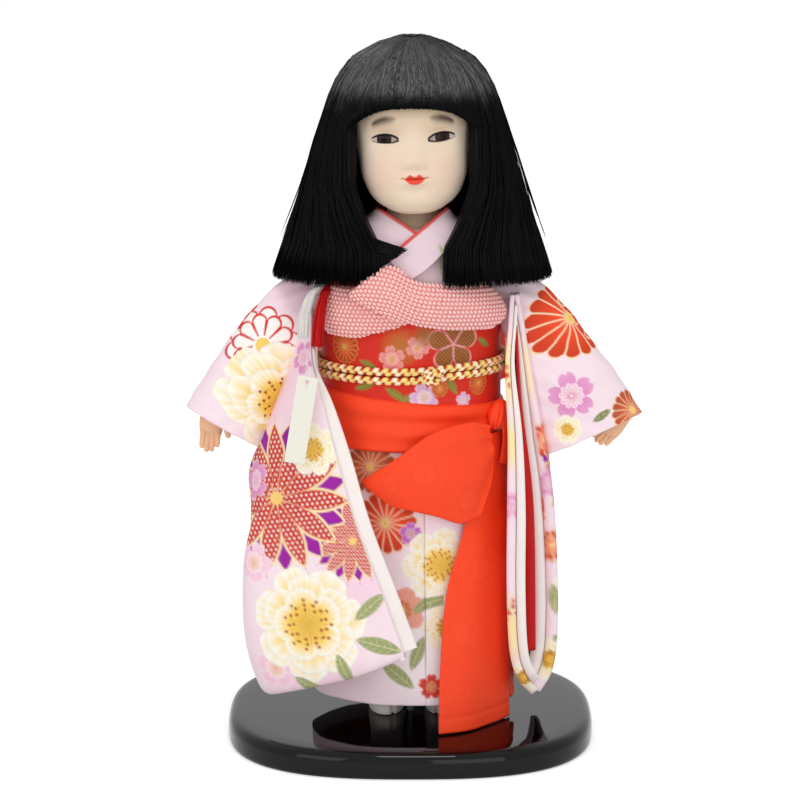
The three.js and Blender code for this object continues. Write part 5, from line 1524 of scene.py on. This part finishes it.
    def _face_colours(self, x: Points, z: Points, inside: Points, crease: Points, face: Points) -> Points:
        """Ivory face with painted brows, lid lines, blush and lips, and painted light and shade: lighter
        sides, the bangs' shadow on the forehead, and shade in the eye sockets, the lid folds and the eye
        openings.

        Args:
            x, z: Places on the face.
            inside: Depth inside the eyes' openings.
            crease: Share of the painted shade in the fold above each eye.
            face: 1 on the front, 0 elsewhere.
        Returns:
            Linear colours.
        """
        paint = self.paint
        # share of the painted side light
        side_light_share = smoothstep(np.abs(x), 14, 32) * (1 - smoothstep(z, 352, 366))
        cheeks = bell(x, -19, 10) + bell(x, 19, 10)
        nose = 0.6 * bell(z, 339, 3) * bell(x, 0, 7)
        layers = [
            # painted light on the sides, and the painted shadow of the bangs on the forehead
            (paint.painted_side_light, 0.9 * side_light_share), (paint.painted_bangs_shadow, 0.75 * smoothstep(z, 354, 371)),
            (paint.blush, 0.35 * (bell(z, 334, 11) * cheeks + nose)),
            # painted shade in the eye sockets
            (paint.socket, 0.5 * bell(z, 359, 5) * (bell(x, -14, 9) + bell(x, 14, 9))),
            # painted shade in the lid folds
            (paint.crease, 0.25 * crease),
        ]
        for side in (-1, 1):
            q = (x * side - 16.8) / 8.2
            arch = 365.6 - 2.3 * np.clip(q + 0.35, 0, 2) ** 2
            width = 3.0 * np.clip(1 - np.abs(q - 0.05) ** 2.4, 0, 1) ** 0.7
            off = (z - arch) / np.maximum(width, 0.05)
            brow = bell(np.where(off > 0, 1.7, 0.95) * off, 0, 1) * smoothstep(1 - np.abs(q), 0.0, 0.3)
            layers.append((paint.brow, 0.9 * brow * (0.5 + 0.5 * smoothstep(q, -1, 0.1))))
        upper_lid = smoothstep(z - self.eye_height - 0.3 * np.abs(x) / 16, -1.4, 0.4)
        line = np.clip(2.3 - np.abs(inside + 0.5) / 0.5, 0, 1) * upper_lid
        line = np.maximum(line, np.clip(1.5 - np.abs(inside + 0.1) / 0.4, 0, 1))
        upper = 330.4 + 2.8 * (bell(x, -2.8, 2.3) + bell(x, 2.8, 2.3)) * np.clip(1 - (x / 6.4) ** 4, 0, 1)
        lower = 330.2 - 3.0 * np.clip(1 - (x / 5.7) ** 2, 0, 1) ** 0.8
        lip = np.clip(np.minimum(upper - z, z - lower) / 0.5 + 0.5, 0, 1) * (np.abs(x) < 6.4)
        seam = np.clip(1.25 - np.abs(z - 330.3 - 0.012 * x**2) / 0.42, 0, 1) * (np.abs(x) < 8.0)
        layers += [
            # the second entry is painted shade inside the eye openings
            (paint.lid, line), (paint.painted_opening_shade, smoothstep(inside, 0.0, 0.4)), (paint.lip, lip),
            (paint.mouth, 0.85 * seam),
        ]
        tint = np.broadcast_to(linear(*paint.ivory), (*x.shape, 3))
        for colour, share in layers:
            tint = blend(tint, linear(*colour), share * face)
        return tint

    def _neck(self) -> Grid:
        """The neck, a round stem that widens into the jaw."""
        z = np.linspace(330, 296, 30)[:, None]
        angle = whole_turn(60)
        radius = self.neck_radius + 2.5 * smoothstep(z, 308, 326)
        grid = Grid(stacked(self.middle_x + radius * np.sin(angle), -2 - radius * np.cos(angle), z), True)
        return grid.painted(linear(*self.paint.neck))

    def _eyes(self) -> None:
        """Glass lenses behind the lids: an oval that bulges forward, with iris and pupil."""
        theta = np.linspace(0.0, np.pi, 56)[:, None]
        phi = whole_turn(72)
        wide, tall, deep = self.eye_half
        x, z = wide * np.sin(theta) * np.sin(phi), tall * np.sin(theta) * np.cos(phi)
        y = np.broadcast_to(-deep * np.cos(theta), x.shape)
        front = np.broadcast_to(np.cos(theta) > 0, x.shape)
        tint = np.broadcast_to(linear(196, 182, 168), (*x.shape, 3))
        for reach, colour in ((4.5, (8, 5, 5)), (3.8, (58, 25, 17)), (1.9, (6, 4, 4))):
            disc = np.clip(3 * (reach - np.hypot(x, z - 0.6)) + 0.5, 0, 1)
            tint = blend(tint, linear(*colour), disc * front)
        for name, side in SIDES:
            across, back = spun(x, y, side * self.eye_turn)
            ball = stacked(across + side * self.eye_spread, back + self.eye_y, z + self.eye_height)
            put(f"{name}_glass_eye", Grid(self.rolled(ball), True, tint), EYE, f"{name}_eye", "head")

    def strand_point(self, turn: Points, z: Points, out: Points | float) -> Points:
        """Points of the hair's outer form at turns and heights, moved outwards."""
        turn, z = np.broadcast_arrays(turn, z)
        a, front, back = (column.reshape(z.shape) for column in profile(self.hair, z).T)
        s, c = oval(np.radians(turn), self.hair_power)
        return stacked(1.1 + (a + out) * s, (back - front) / 2 + ((front + back) / 2 + out) * c, z)

    def front_turn(self, z: Points) -> Points:
        """Turn at which a side lock starts, further in below the chin."""
        table = np.array(self.lock_turn)
        return np.interp(z, table[:, 0], table[:, 1])

    def heights(self, knee: float, above: int, foot: float, below: int) -> Points:
        """Heights of a form's rows, close together above a knee and even below it."""
        top = np.linspace(self.crown, knee, above)[:-1]
        return joined(top, np.linspace(knee, foot, below))[:, None]

    def form(self, outer: Points, inner: Points, way: int = 1) -> Grid:
        """The dark form under strands: an outer and an inner skin, closed at the hem."""
        ring = joined(outer, inner[:, ::-1], axis=1)[:, ::way]
        closed = joined(ring, ring[-1:] * 0.5 + ring[-1:, ::-1] * 0.5)
        return Grid(closed, True).painted(linear(*self.form_black))

    def locks(self, turn_of: Turning, hem: Points, seed: int, lift: float = 0.9) -> Tubes:
        """Strands that fall from the crown over the hair's form.

        Args:
            turn_of: Function of a share from 0 to 1 and heights that gives turns.
            hem: Height of each strand's end.
            seed: Seed of the scatter.
            lift: Largest distance off the form.
        Returns:
            Strands with fine ends.
        """
        rng, count = np.random.default_rng(seed), len(hem)
        share = (np.arange(count) + rng.random(count))[:, None] / count
        t = shares(self.strand_steps) ** 1.5
        start = self.crown - 26 * rng.random((count, 1)) ** 1.5
        z = start + (hem[:, None] - start) * t
        stray = np.clip(rng.normal(0, 1, (count, 1)), -1.8, 1.8)
        turn = turn_of(share, z) + stray * 1.1 * t + 0.5 * np.sin(6 * t + 9 * share)
        out = lift * rng.random((count, 1)) * (0.3 + 0.7 * t) + 0.25 * np.sin(9 * t + 40 * share)
        radius = (0.34 + 0.2 * rng.random((count, 1))) * np.clip(8 * (1 - t) + 0.18, 0, 1)
        paths = self.strand_point(turn, z, out - 0.5)
        # strength of each strand's painted sheen
        sheen_strength = 0.3 + 1.1 * rng.random((count, 1)) ** 1.5
        return Tubes(paths, radius, 3, self.painted_sheen(paths, sheen_strength))

    def painted_sheen(self, paths: Points, sheen_strength: Points) -> Points:
        """Near-black colours with a painted grey sheen round the crown, standing in for the light's
        highlight, streaked from strand to strand.

        Args:
            paths: Points of the strands.
            sheen_strength: Strength of the painted sheen on each strand.
        Returns:
            Linear colours.
        """
        z = paths[..., 2]
        # painted highlight: a grey sheen band round the crown, fading towards the back
        band = smoothstep(z, 374, 384) * (1 - 0.35 * smoothstep(z, 398, 409))
        band *= smoothstep(-paths[..., 1], -30, 25)
        return blend(linear(4, 4, 5), linear(98, 99, 100), band * sheen_strength)

    def stray_lock(self) -> Tubes:
        """A lock that sweeps from the right side over the collar, its strands drawn together at the tip."""
        rng = np.random.default_rng(9)
        count, steps = 190, 12
        share, t = rng.random((count, 1)), shares(steps)
        low = 1 - share[:, 0]
        start = stacked(-25.0, -48.5, 298 - 30 * low)
        tip = stacked(-1.5 - 20 * low**1.4 - 4 * rng.random(count) ** 2, -50.2, 290 - 13 * low**1.2)
        bend = (start + tip) / 2 + stacked(0, -1.6 - 0.8 * rng.random(count), 1.5 - 2 * share[:, 0])
        u = t[None, :, None]
        paths = (1 - u) ** 2 * start[:, None] + 2 * u * (1 - u) * bend[:, None] + u**2 * tip[:, None]
        # the lock's colours carry the painted sheen
        return Tubes(paths, 0.42 * np.clip(5 * (1 - t) + 0.2, 0, 1), 3, self.painted_sheen(paths, share))

    def _hair(self) -> None:
        """The bob: dark forms under strands, for the crown, the bangs, the sides and the back."""
        rng = np.random.default_rng(11)
        for name, side in SIDES:
            self._hair_side(name, side, rng)
        self._hair_back(rng)
        self._hair_front(rng)

    def ragged(self, count: int, rng: np.random.Generator) -> Points:
        """Heights of strands' ends about the hem."""
        return self.hem + rng.normal(0, 0.7, count) - 1.5 * rng.random(count)

    def _hair_side(self, name: str, side: int, rng: np.random.Generator) -> None:
        """One side of the bob, with loose strands over it, and on the right a stray lock."""
        def turn_of(share: Points, z: Points) -> Points:
            """Turn of a side strand, held between the lock's front and the back."""
            front = self.front_turn(z)
            return side * (front + share * (self.back_turn - front))

        z = self.heights(400, 14, self.hem + 1.5, 70)
        outer, inner = (self.strand_point(turn_of(shares(60), z), z, -inset) for inset in (1.4, 9.0))
        hem = self.ragged(self.side_strands, rng)
        strands = [
            self.locks(turn_of, hem, 20 + side), self.locks(turn_of, hem[:self.loose] - 0.4, 40 + side, 2.0),
            self.locks(turn_of, hem[:self.flyaway] + 20, 60 + side, 5.0),
        ]
        if side < 0:
            strands.append(self.stray_lock())
        parts = [self.form(outer, inner, side), *strands]
        put(f"hair_{name}_locks", parts, HAIR, f"hair_{name}", "head")

    def _hair_back(self, rng: np.random.Generator) -> None:
        """The back of the bob, from one side lock to the other."""
        def turn_of(share: Points, z: Points) -> Points:
            """Turn of a back strand."""
            return self.back_turn + share * (360 - 2 * self.back_turn) + 0 * z

        z = self.heights(400, 14, self.hem + 1.5, 60)
        turn = np.linspace(self.back_turn - 1, 361 - self.back_turn, 80)
        form = self.form(self.strand_point(turn, z, -1.4), self.strand_point(turn, z, -9.0))
        strands = self.locks(turn_of, self.ragged(self.back_strands, rng), 5)
        put("hair_back_locks", [form, strands], HAIR, "hair_back", "head")

    def tuck(self, points: Points) -> Points:
        """Distance by which the bangs curl back to the brow at their cut, less toward the sides."""
        middle = 1 - smoothstep(np.abs(points[..., 0] - 1), 22, 36)
        return 4.4 * (1 - smoothstep(points[..., 2], 366, 384)) * middle

    def cut(self, turn: Points) -> Points:
        """Height of the bangs' cut at a turn, lower toward the sides."""
        return self.bangs_edge - self.bangs_drop * np.abs(turn / self.bangs_turn) ** 2.6

    def _hair_front(self, rng: np.random.Generator) -> None:
        """The crown's form with strands over the front, and the bangs cut straight over the brow."""
        def turn_of(share: Points, z: Points) -> Points:
            """Turn of a bang, fanned from the crown."""
            return (2 * share - 1) * self.bangs_turn + 0 * z

        z = self.heights(404, 12, 377, 26)
        crown = Grid(self.strand_point(np.linspace(-180, 180, 120, endpoint=False), z, -1.2), True)
        put("hair_crown_form", crown.painted(linear(12, 12, 13)), HAIR, "hair_crown", "head")
        count = self.bang_strands
        hem = self.cut(turn_of((np.arange(count) + 0.5) / count, 0)) + rng.normal(0, 0.25, count)
        strands = self.locks(turn_of, hem, 6, 0.5)
        strands.paths[..., 1] += self.tuck(strands.paths)
        across = np.linspace(-self.bangs_turn, self.bangs_turn, 70)
        outer = self.strand_point(across, 386 + shares(20)[:, None] * (self.cut(across) - 386), -1.3)
        outer[..., 1] += self.tuck(outer)
        form = self.form(outer, outer + 3.6 * BACKWARD)
        put("hair_bangs_locks", [form, strands], HAIR, "hair_bangs", "head")


@dataclass
class DollArm:
    """One arm: the hand, the long sleeve, its lining and the red under-sleeve."""

    name: str
    side: int
    cuff: Triple
    cuff_half: float
    wrist: Triple
    hand_lean: float
    shoulder: float = 268.0
    line: Table = ((48, 0, 3), (58, -2, 8), (71, -5, 24), (91, -10, 56))
    half_width: tuple[float, ...] = (12, 12.5, 19, 24)
    half_depth: tuple[float, ...] = (12, 12.5, 15, 17, 15)
    right_bag: Net = (
        ((-66, 5, 250), (-68, 5.5, 250), (-70, 6, 249), (-73, 7, 246), (-77, 8, 244)),
        ((-55, 12.5, 222), (-60, 14, 222), (-64, 15, 220), (-70, 16, 217), (-76, 17, 214)),
        ((-43, 17.5, 199), (-50, 22, 197), (-57, 28, 194), (-68, 32, 188), (-78, 34, 181)),
        ((-33, 18.5, 160), (-43, 26, 158), (-57, 36, 156), (-69, 42, 154), (-79, 46, 152)),
        ((-24, 20.5, 128), (-38, 29, 126), (-58, 42, 125), (-70, 46, 124), (-80, 44, 124)),
        ((-13, 21.5, 92), (-32, 30, 89), (-57, 46, 86), (-69, 47, 86), (-80, 42, 86)),
        ((-5, 22, 62), (-27, 31, 55), (-54, 46, 50), (-67, 46, 50), (-79, 40, 52)),
        ((-2, 23, 50), (-23, 29, 38), (-50, 40, 24), (-63, 40, 20), (-75, 36, 26)))
    left_bag: Net = (
        ((3, -27, 259), (3.5, -21, 259), (4, -15, 259), (5, -10, 259),
         (6, -14, 259), (6.5, -19, 259), (6, -25, 259)),
        ((1.7, -29, 238), (1.6, -18, 238), (4.2, -6, 238), (7.5, 3, 238),
         (10.5, -3, 238), (11, -13, 238), (9.5, -24, 238)),
        ((0.2, -31, 214), (0.9, -16, 214), (5.5, -1, 214), (10, 10, 214),
         (14, 0, 214), (15, -13, 214), (13.5, -25, 214)),
        ((1.6, -38, 178), (4.8, -20, 178), (9, 3, 178), (15.5, 22, 178),
         (22, 4, 178), (22.5, -11, 178), (20, -26, 178)),
        ((1.5, -42, 135), (5.5, -22, 135), (10.3, 5, 135), (18, 30, 135),
         (26.5, 7, 135), (28, -10, 135), (27.4, -26, 135)),
        ((1.5, -44, 85), (6, -23, 85), (10.5, 6, 85), (19, 34, 85),
         (28.3, 8, 85), (30.6, -10, 85), (30.6, -26, 85)),
        ((3.4, -44, 47), (8.3, -23, 47), (12, 5, 47), (19.5, 32, 47),
         (28, 8, 47), (30.5, -10, 47), (30.4, -27, 47)),
        ((8.6, -43, 29), (11.5, -23, 28), (14.5, 5, 27), (19.8, 31, 28),
         (26.5, 8, 27), (29, -10, 28), (27, -30, 29)),
        ((16.6, -39, 18.5), (17, -24, 17.5), (18, 4, 17), (20.3, 28, 18),
         (23, 8, 17), (23.6, -10, 17), (20.5, -34, 18.5)))
    juban: Net = (
        ((5.5, -26, 240), (6, -18, 240), (6.5, -10, 240)),
        ((7, -29, 208), (7.5, -17, 208), (8, -5, 208)),
        ((9.8, -32, 172), (10.5, -10, 172), (11.5, 8, 172)),
        ((13.4, -34, 120), (15, -10, 120), (16, 14, 120)),
        ((15, -34, 44), (16, -10, 44), (17, 14, 44)))
    fingers: float = 1.0

    @property
    def body(self) -> str:
        """Body that the arm's pieces ride on."""
        return f"{self.name}_arm"

    def build(self) -> None:
        """Builds the hand, the sleeve's tube and bag, and the linings."""
        self._hand()
        self._tube()
        if self.side < 0:
            self._right_bag()
        else:
            self._left_bag()

    def tube(self, at: Points, shrink: Points, turn: Points) -> Points:
        """Flattened rings carried along the sleeve's line.

        Args:
            at: Places along the line from 0 to 1.
            shrink: Distance inside the sleeve's outer form, for each place.
            turn: Turns of a ring's points from the front.
        Returns:
            Array of places, ring points, x y z.
        """
        places = np.array((*self.line, self.cuff)) * (self.side, 1, -1) + (0, 0, self.shoulder)
        row = np.column_stack([places, (*self.half_width, self.cuff_half), self.half_depth])
        p = curve(row, at)
        ahead, behind = (curve(places, np.clip(at + step, 0, 1)) for step in (0.01, -0.01))
        deep, wide = sides_of(unit(ahead - behind))
        u, v = (way[None, :, None] for way in oval(turn, 2.25))
        a, b = (p[:, 3:] - shrink[:, None]).T[..., None, None]
        return p[:, None, :3] + a * u * wide[:, None] + b * v * deep[:, None]

    def _tube(self) -> None:
        """The printed upper sleeve, wrinkled at the armpit and turned in at the cuff."""
        at = joined(shares(220), (1.0, 0.997, 0.97, 0.93))
        shrink = joined(np.zeros(220), (0.7, 1.3, 1.5, 1.5))
        turn = closer_in_front(1.6, 216, 66, True)
        points = self.tube(at, shrink, turn)
        wrinkle = 0.9 * np.sin(points @ np.array((0.2 * self.side, 0.12, 0.55)))
        fade = (bell(at, 0.22, 0.2) + 0.25)[:, None]
        grid = Grid(points, True).push((wrinkle * fade + 0.8 * ripple(points, 46)) * (shrink[:, None] == 0))
        grid = Canvas(grid, GROUND).place(SLEEVE_MOTIFS).done()
        grid.tint[-3:] = linear(*LINING.colour)
        put(f"{self.name}_upper_sleeve", grid, PRINT, f"{self.name}_sleeve", self.body)
        at = np.linspace(0.55, 0.995, 60)
        skins = [self.tube(at, np.full(60, 2.2), turn[::5]), self.tube(at[::-1], np.full(60, 3.2), turn[::5])]
        liner = Grid(np.concatenate(skins), True)
        put(f"{self.name}_cuff_silk", liner, RED_SILK, f"{self.name}_cuff_liner", self.body)

    def bag_middle(self, down: Points, across: Points) -> tuple[Points, Points]:
        """Middle surface of the right bag and its normals, sagging, and stepped back where the cloth folds.

        Args:
            down: Places from top to hem, from 0 to 1.
            across: Places from the open edge to the outer fold.
        Returns:
            Points and unit normals.
        """
        middle = patch(around(self.right_bag), down, across)
        normal = Grid(middle).normals()
        down = down[:, None]
        sag = 1.3 * np.sin(2 * np.pi * (1.6 * across - 0.5 * down)) * np.sin(np.pi * across)
        line = across - 0.85 * (down - 0.43)
        step = 5.5 * smoothstep(line, 0.47, 0.54) * (1 - smoothstep(down, 0.6, 0.8))
        return middle + normal * ((sag + step) * smoothstep(down, 0.1, 0.35))[..., None], normal

    def _right_bag(self) -> None:
        """The hanging bag: one cloth folded at its outer edge, with white lining in the open edge."""
        down = shares(300)
        skins = []
        for columns, way in ((50, 1), (170, -1)):
            across = shares(columns)
            middle, normal = self.bag_middle(down, across)
            half = 3.4 * np.sqrt(np.clip(1 - across**8, 0, 1) * np.clip(1 - down**30, 0.004, 1)[:, None])
            skins.append(middle + way * normal * half[..., None])
        inner = [middle[:, 4:0:-1] + way * normal[:, 4:0:-1] * 2.0 for way in (1, -1)]
        ring = joined(inner[0], skins[0], skins[1][:, ::-1], inner[1][:, ::-1], axis=1)
        bag = Canvas(Grid(ring), GROUND).place(BAG_MOTIFS).done()
        bag.tint[:, :4] = bag.tint[:, -4:] = linear(*LINING.colour)
        put("right_furisode", bag, PRINT, "right_sleeve", self.body)
        rows = middle[33:-16:2, :95:2]
        away = unit(rows[:, :1] - rows[:, 4:5])
        reach = np.linspace(7.5, 0.6, 9)[None] * smoothstep(shares(len(rows)), 0.0, 0.4)[:, None]
        lining = hemmed(joined(rows[:, :1] + away * reach[..., None], rows, axis=1), 1.3, 1.3)
        put("right_sleeve_silk", lining, LINING, "right_sleeve_lining", self.body)

    def _left_bag(self) -> None:
        """The bag seen on its open edge: a folded wall with thick hems, its lining and under-sleeve."""
        beside = np.array((BAND_HALF[0], 0, 0))
        down, across = shares(170)[:, None], shares(137)
        middle = patch(np.array(self.left_bag) + beside, down[:, 0], across)
        wave = 0.9 * np.sin(2 * np.pi * (2.5 * across + 0.4 * down)) * smoothstep(down, 0, 0.3)
        middle = Grid(middle).push(wave * np.sin(np.pi * across)).points
        full = 0.2 + 0.8 * smoothstep(down, 0.15, 0.55)
        hem = 0.9 + (3.4 * bell(across, 0, 0.05) + 5.0 * bell(across, 1, 0.05)) * full
        bag = Canvas(hemmed(middle, hem, 1.2), GROUND).place(BAG_MOTIFS).done()
        put("left_furisode", bag, PRINT, "left_sleeve", self.body)
        roll = hem + 1.2 + (4.8 * bell(across, 0, 0.06) + 7.2 * bell(across, 1, 0.06)) * full
        middle, hem, roll = (values[6:-8:2, ::2] for values in (middle, hem, roll))
        lining = hemmed(middle, roll, -0.4 - hem)
        put("left_sleeve_silk", lining, LINING, "left_sleeve_lining", self.body)
        down = shares(90)
        points = patch(np.array(self.juban) + beside, down, shares(40))
        half = 0.8 + 2.7 * smoothstep(down, 0.3, 0.7)[:, None]
        put("left_under_sleeve", hemmed(points, half, half), RED_SILK, "left_juban_sleeve", self.body)

    def _hand(self) -> None:
        """The hand: a palm and five fingers, each a tapering rod with a rounded tip."""
        x, y, drop = self.wrist
        wrist = np.array((self.side * x, y, self.shoulder - drop))
        lean = math.radians(self.hand_lean)
        down = np.array((self.side * math.sin(lean), 0, -math.cos(lean)))
        wide = np.array((math.cos(lean), 0, self.side * math.sin(lean)))
        palm = wrist + np.array((-4, 5, 12, 18))[:, None] * down
        parts = [self._rod(palm, (5.6, 6.6, 7.4, 6.8), (4.6, 4.6, 4.4, 3.2))]
        for i, length in enumerate((11.5, 13.5, 13.0, 10.0)):
            off = (i - 1.5) * 2.7
            length *= self.fingers
            base = wrist + 15.5 * down + wide * off - 0.5 * BACKWARD
            tip = base + down * length + wide * off * 0.1 - 1.8 * BACKWARD
            bend = base + down * length * 0.55 + wide * off * 0.06 - 1.8 * BACKWARD
            parts.append(self._rod((base, bend, tip), (2.0, 1.9, 1.55), (2.0, 1.9, 1.5)))
        inward = -self.side * wide
        thumb = wrist + 8 * down + 5.5 * inward - 1.5 * BACKWARD
        tip = thumb + 11 * down + 5 * inward - 1.5 * BACKWARD
        parts.append(self._rod((thumb, (thumb + tip) / 2 + inward, tip), (2.4, 2.2, 1.7), (2.3, 2.1, 1.6)))
        put(f"{self.name}_fingers", parts, HAND, f"{self.name}_hand", self.body)

    def _rod(self, points: Sequence[Points], width: Sequence[float], depth: Sequence[float]) -> Grid:
        """A smooth rod of oval section along points, closed at both ends by a dome."""
        p = curve(np.column_stack([points, width, depth]), shares(26))
        along = unit(np.gradient(p[:, :3], axis=0))
        reach, size = np.array((1.0, 0.85, 0.5))[:, None], np.array((0.02, 0.5, 0.85))
        first = p[0, :3] - along[0] * reach * p[0, 3] * 0.6
        last = p[-1, :3] + along[-1] * reach[::-1] * p[-1, 3]
        middle = joined(first, p[:, :3], last)
        p, along = (np.pad(rows, ((3, 3), (0, 0)), "edge") for rows in (p, along))
        half = p[:, 3:, None, None] * joined(size, np.ones(26), size[::-1])[:, None, None, None]
        deep, wide = sides_of(along)
        u, v = (way[None, :, None] for way in oval(whole_turn(20), 2.2))
        return Grid(middle[:, None] + half[:, 0] * u * wide[:, None] + half[:, 1] * v * deep[:, None], True)


@dataclass
class PaperTag:
    """The blank card tag on its thread."""

    width: float = 12.0
    length: float = 51.0
    sheet: float = 0.8
    top: Triple = (-59.8, -55.0, 215.5)
    lean: float = -16.0
    tilt: float = 9.0
    hole_drop: float = 3.2
    hole_radius: float = 1.2
    thread_top: Triple = (-60.9, -37.75, 223.5)

    def turned(self, points: Points) -> Points:
        """Points of the upright tag tilted, leaned and hung at its place."""
        x, z = spun(points[..., 0], points[..., 2], -self.tilt)
        return stacked(x, *spun(points[..., 1], z, self.lean)) + np.array(self.top)

    def build(self) -> None:
        """A card whose rings run from the hole's rim out to its straight edges, and a thread of two loops."""
        right, low, high = self.width / 2, self.hole_drop - self.length, self.hole_drop
        corners = np.array([(0, high), (right, high), (right, low), (-right, low), (-right, high), (0, high)])
        counts = (8, 30, 16, 30, 8)
        at = np.concatenate([np.linspace(i, i + 1, n, endpoint=False) for i, n in enumerate(counts)])
        rim = np.stack([np.interp(at, np.arange(6), corners[:, k]) for k in (0, 1)], -1)
        hole = unit(rim) * self.hole_radius
        share = np.array((0, 0.15, 0.35, 0.6, 0.85, 0.96, 0.985, 1.0))[:, None, None]
        flat = hole + share * (rim - hole)
        front = stacked(flat[..., 0], 0.4 - self.sheet, flat[..., 1] - self.hole_drop)
        ring = joined(front, front[::-1] + self.sheet * BACKWARD, front[:1])
        put("card_tag", Grid(self.turned(ring), True), CARD, "paper_tag", "tag")
        end = self.turned(np.array((0.0, 0.6, -self.hole_drop)))
        top = np.array(self.thread_top)
        t = shares(24)[:, None]
        bow = np.array(((-0.6, -1.0, 0), (0.7, -1.0, 0)))[:, None]
        paths = top + (end - top) * t + bow * np.sin(np.pi * t)
        put("tag_thread_loops", Tubes(paths, 0.28, 8), THREAD, "tag_thread", "tag")


@dataclass
class Studio:
    """Camera, floor and soft light."""

    eye: Triple = (-0.0063, -1.85, 0.60)
    pitch: float = 12.02
    lens: float = 141.57
    lamps: tuple[tuple[str, Triple, float, float], ...] = (
        ("key", (-1.2, -1.7, 0.9), 7, 1.2), ("fill", (0.7, -2.0, 0.45), 6.5, 1.2),
        ("top", (0.05, -0.75, 1.75), 5, 0.4))
    aim: Triple = (0, 0, 0.25)

    def build(self) -> None:
        """Sets the camera, a white floor that keeps the shadow, a white surround and three soft lamps."""
        scene = bpy.context.scene
        scene.view_settings.view_transform = "Standard"
        camera = bpy.data.objects.new("camera", bpy.data.cameras.new("camera"))
        scene.collection.objects.link(camera)
        camera.location = self.eye
        camera.rotation_euler = (math.radians(90 - self.pitch), 0, 0)
        camera.data.lens = self.lens
        camera.data.sensor_width = 36
        scene.camera = camera
        self._floor()
        self._world()
        for name, place, power, size in self.lamps:
            lamp = bpy.data.lights.new(name, "AREA")
            lamp.energy, lamp.size = power, size
            made = bpy.data.objects.new(name, lamp)
            made.location = place
            aim = np.subtract(self.aim, place)
            yaw, fall = math.atan2(aim[0], -aim[1]), math.atan2(math.hypot(aim[0], aim[1]), -aim[2])
            made.rotation_euler = (fall, 0, yaw + math.pi)
            scene.collection.objects.link(made)

    def seen(self, tree: bpy.types.NodeTree, dim: float, bright: float) -> bpy.types.NodeSocket:
        """A level that is bright to the eye, in gloss and through glass, and dim as light.

        Args:
            tree: Node tree to add to.
            dim: Level for light that falls on the object.
            bright: Level that is seen.
        Returns:
            The socket that gives the level.
        """
        path = node(tree, "LightPath")
        shown = path.outputs["Is Camera Ray"]
        for ray in ("Is Glossy Ray", "Is Transmission Ray"):
            either = node(tree, "Math")
            either.operation = "MAXIMUM"
            tree.links.new(shown, either.inputs[0])
            tree.links.new(path.outputs[ray], either.inputs[1])
            shown = either.outputs[0]
        level = node(tree, "MapRange", To_Min=dim, To_Max=bright)
        tree.links.new(shown, level.inputs["Value"])
        return level.outputs["Result"]

    def _floor(self) -> None:
        """A wide pale floor."""
        reach = np.linspace(-3000, 3000, 3)
        x, y = np.meshgrid(reach, -reach)
        points, quads, _ = Grid(stacked(x, y, 0)).arrays()
        mesh = bpy.data.meshes.new("floor")
        mesh.from_pydata((points * MM).tolist(), [], quads.tolist())
        made = bpy.data.materials.new("pale_floor")
        made.use_nodes = True
        tree = made.node_tree
        shader = tree.nodes["Principled BSDF"]
        shader.inputs["Base Color"].default_value = (0.9, 0.9, 0.9, 1)
        shader.inputs["Roughness"].default_value = 0.9
        shader.inputs["Emission Color"].default_value = (1, 1, 1, 1)
        tree.links.new(self.seen(tree, 0.0, 0.45), shader.inputs["Emission Strength"])
        mesh.materials.append(made)
        floor = bpy.data.objects.new("floor", mesh)
        bpy.context.scene.collection.objects.link(floor)

    def _world(self) -> None:
        """A white surround to the eye and in gloss, and a softer one as light."""
        world = bpy.data.worlds.new("surround")
        bpy.context.scene.world = world
        world.use_nodes = True
        tree = world.node_tree
        sky = tree.nodes["Background"]
        sky.inputs["Color"].default_value = (1, 1, 1, 1)
        tree.links.new(self.seen(tree, 0.66, 1.0), sky.inputs["Strength"])


def main() -> None:
    """Builds the studio and the doll."""
    logging.basicConfig(level=logging.INFO, format="%(name)s %(message)s")
    Studio().build()
    LacquerBoard().build()
    DollBody().build()
    Kimono().build()
    ObiSet().build()
    ShigokiSash().build()
    DollHead().build()
    DollArm("right", -1, (111, -14, 91), 26.5, (117.5, -14, 76), 6).build()
    DollArm("left", 1, (109, -14, 95), 32, (128, -15, 81), -40, fingers=0.65).build()
    PaperTag().build()


if __name__ == "__main__":
    main()
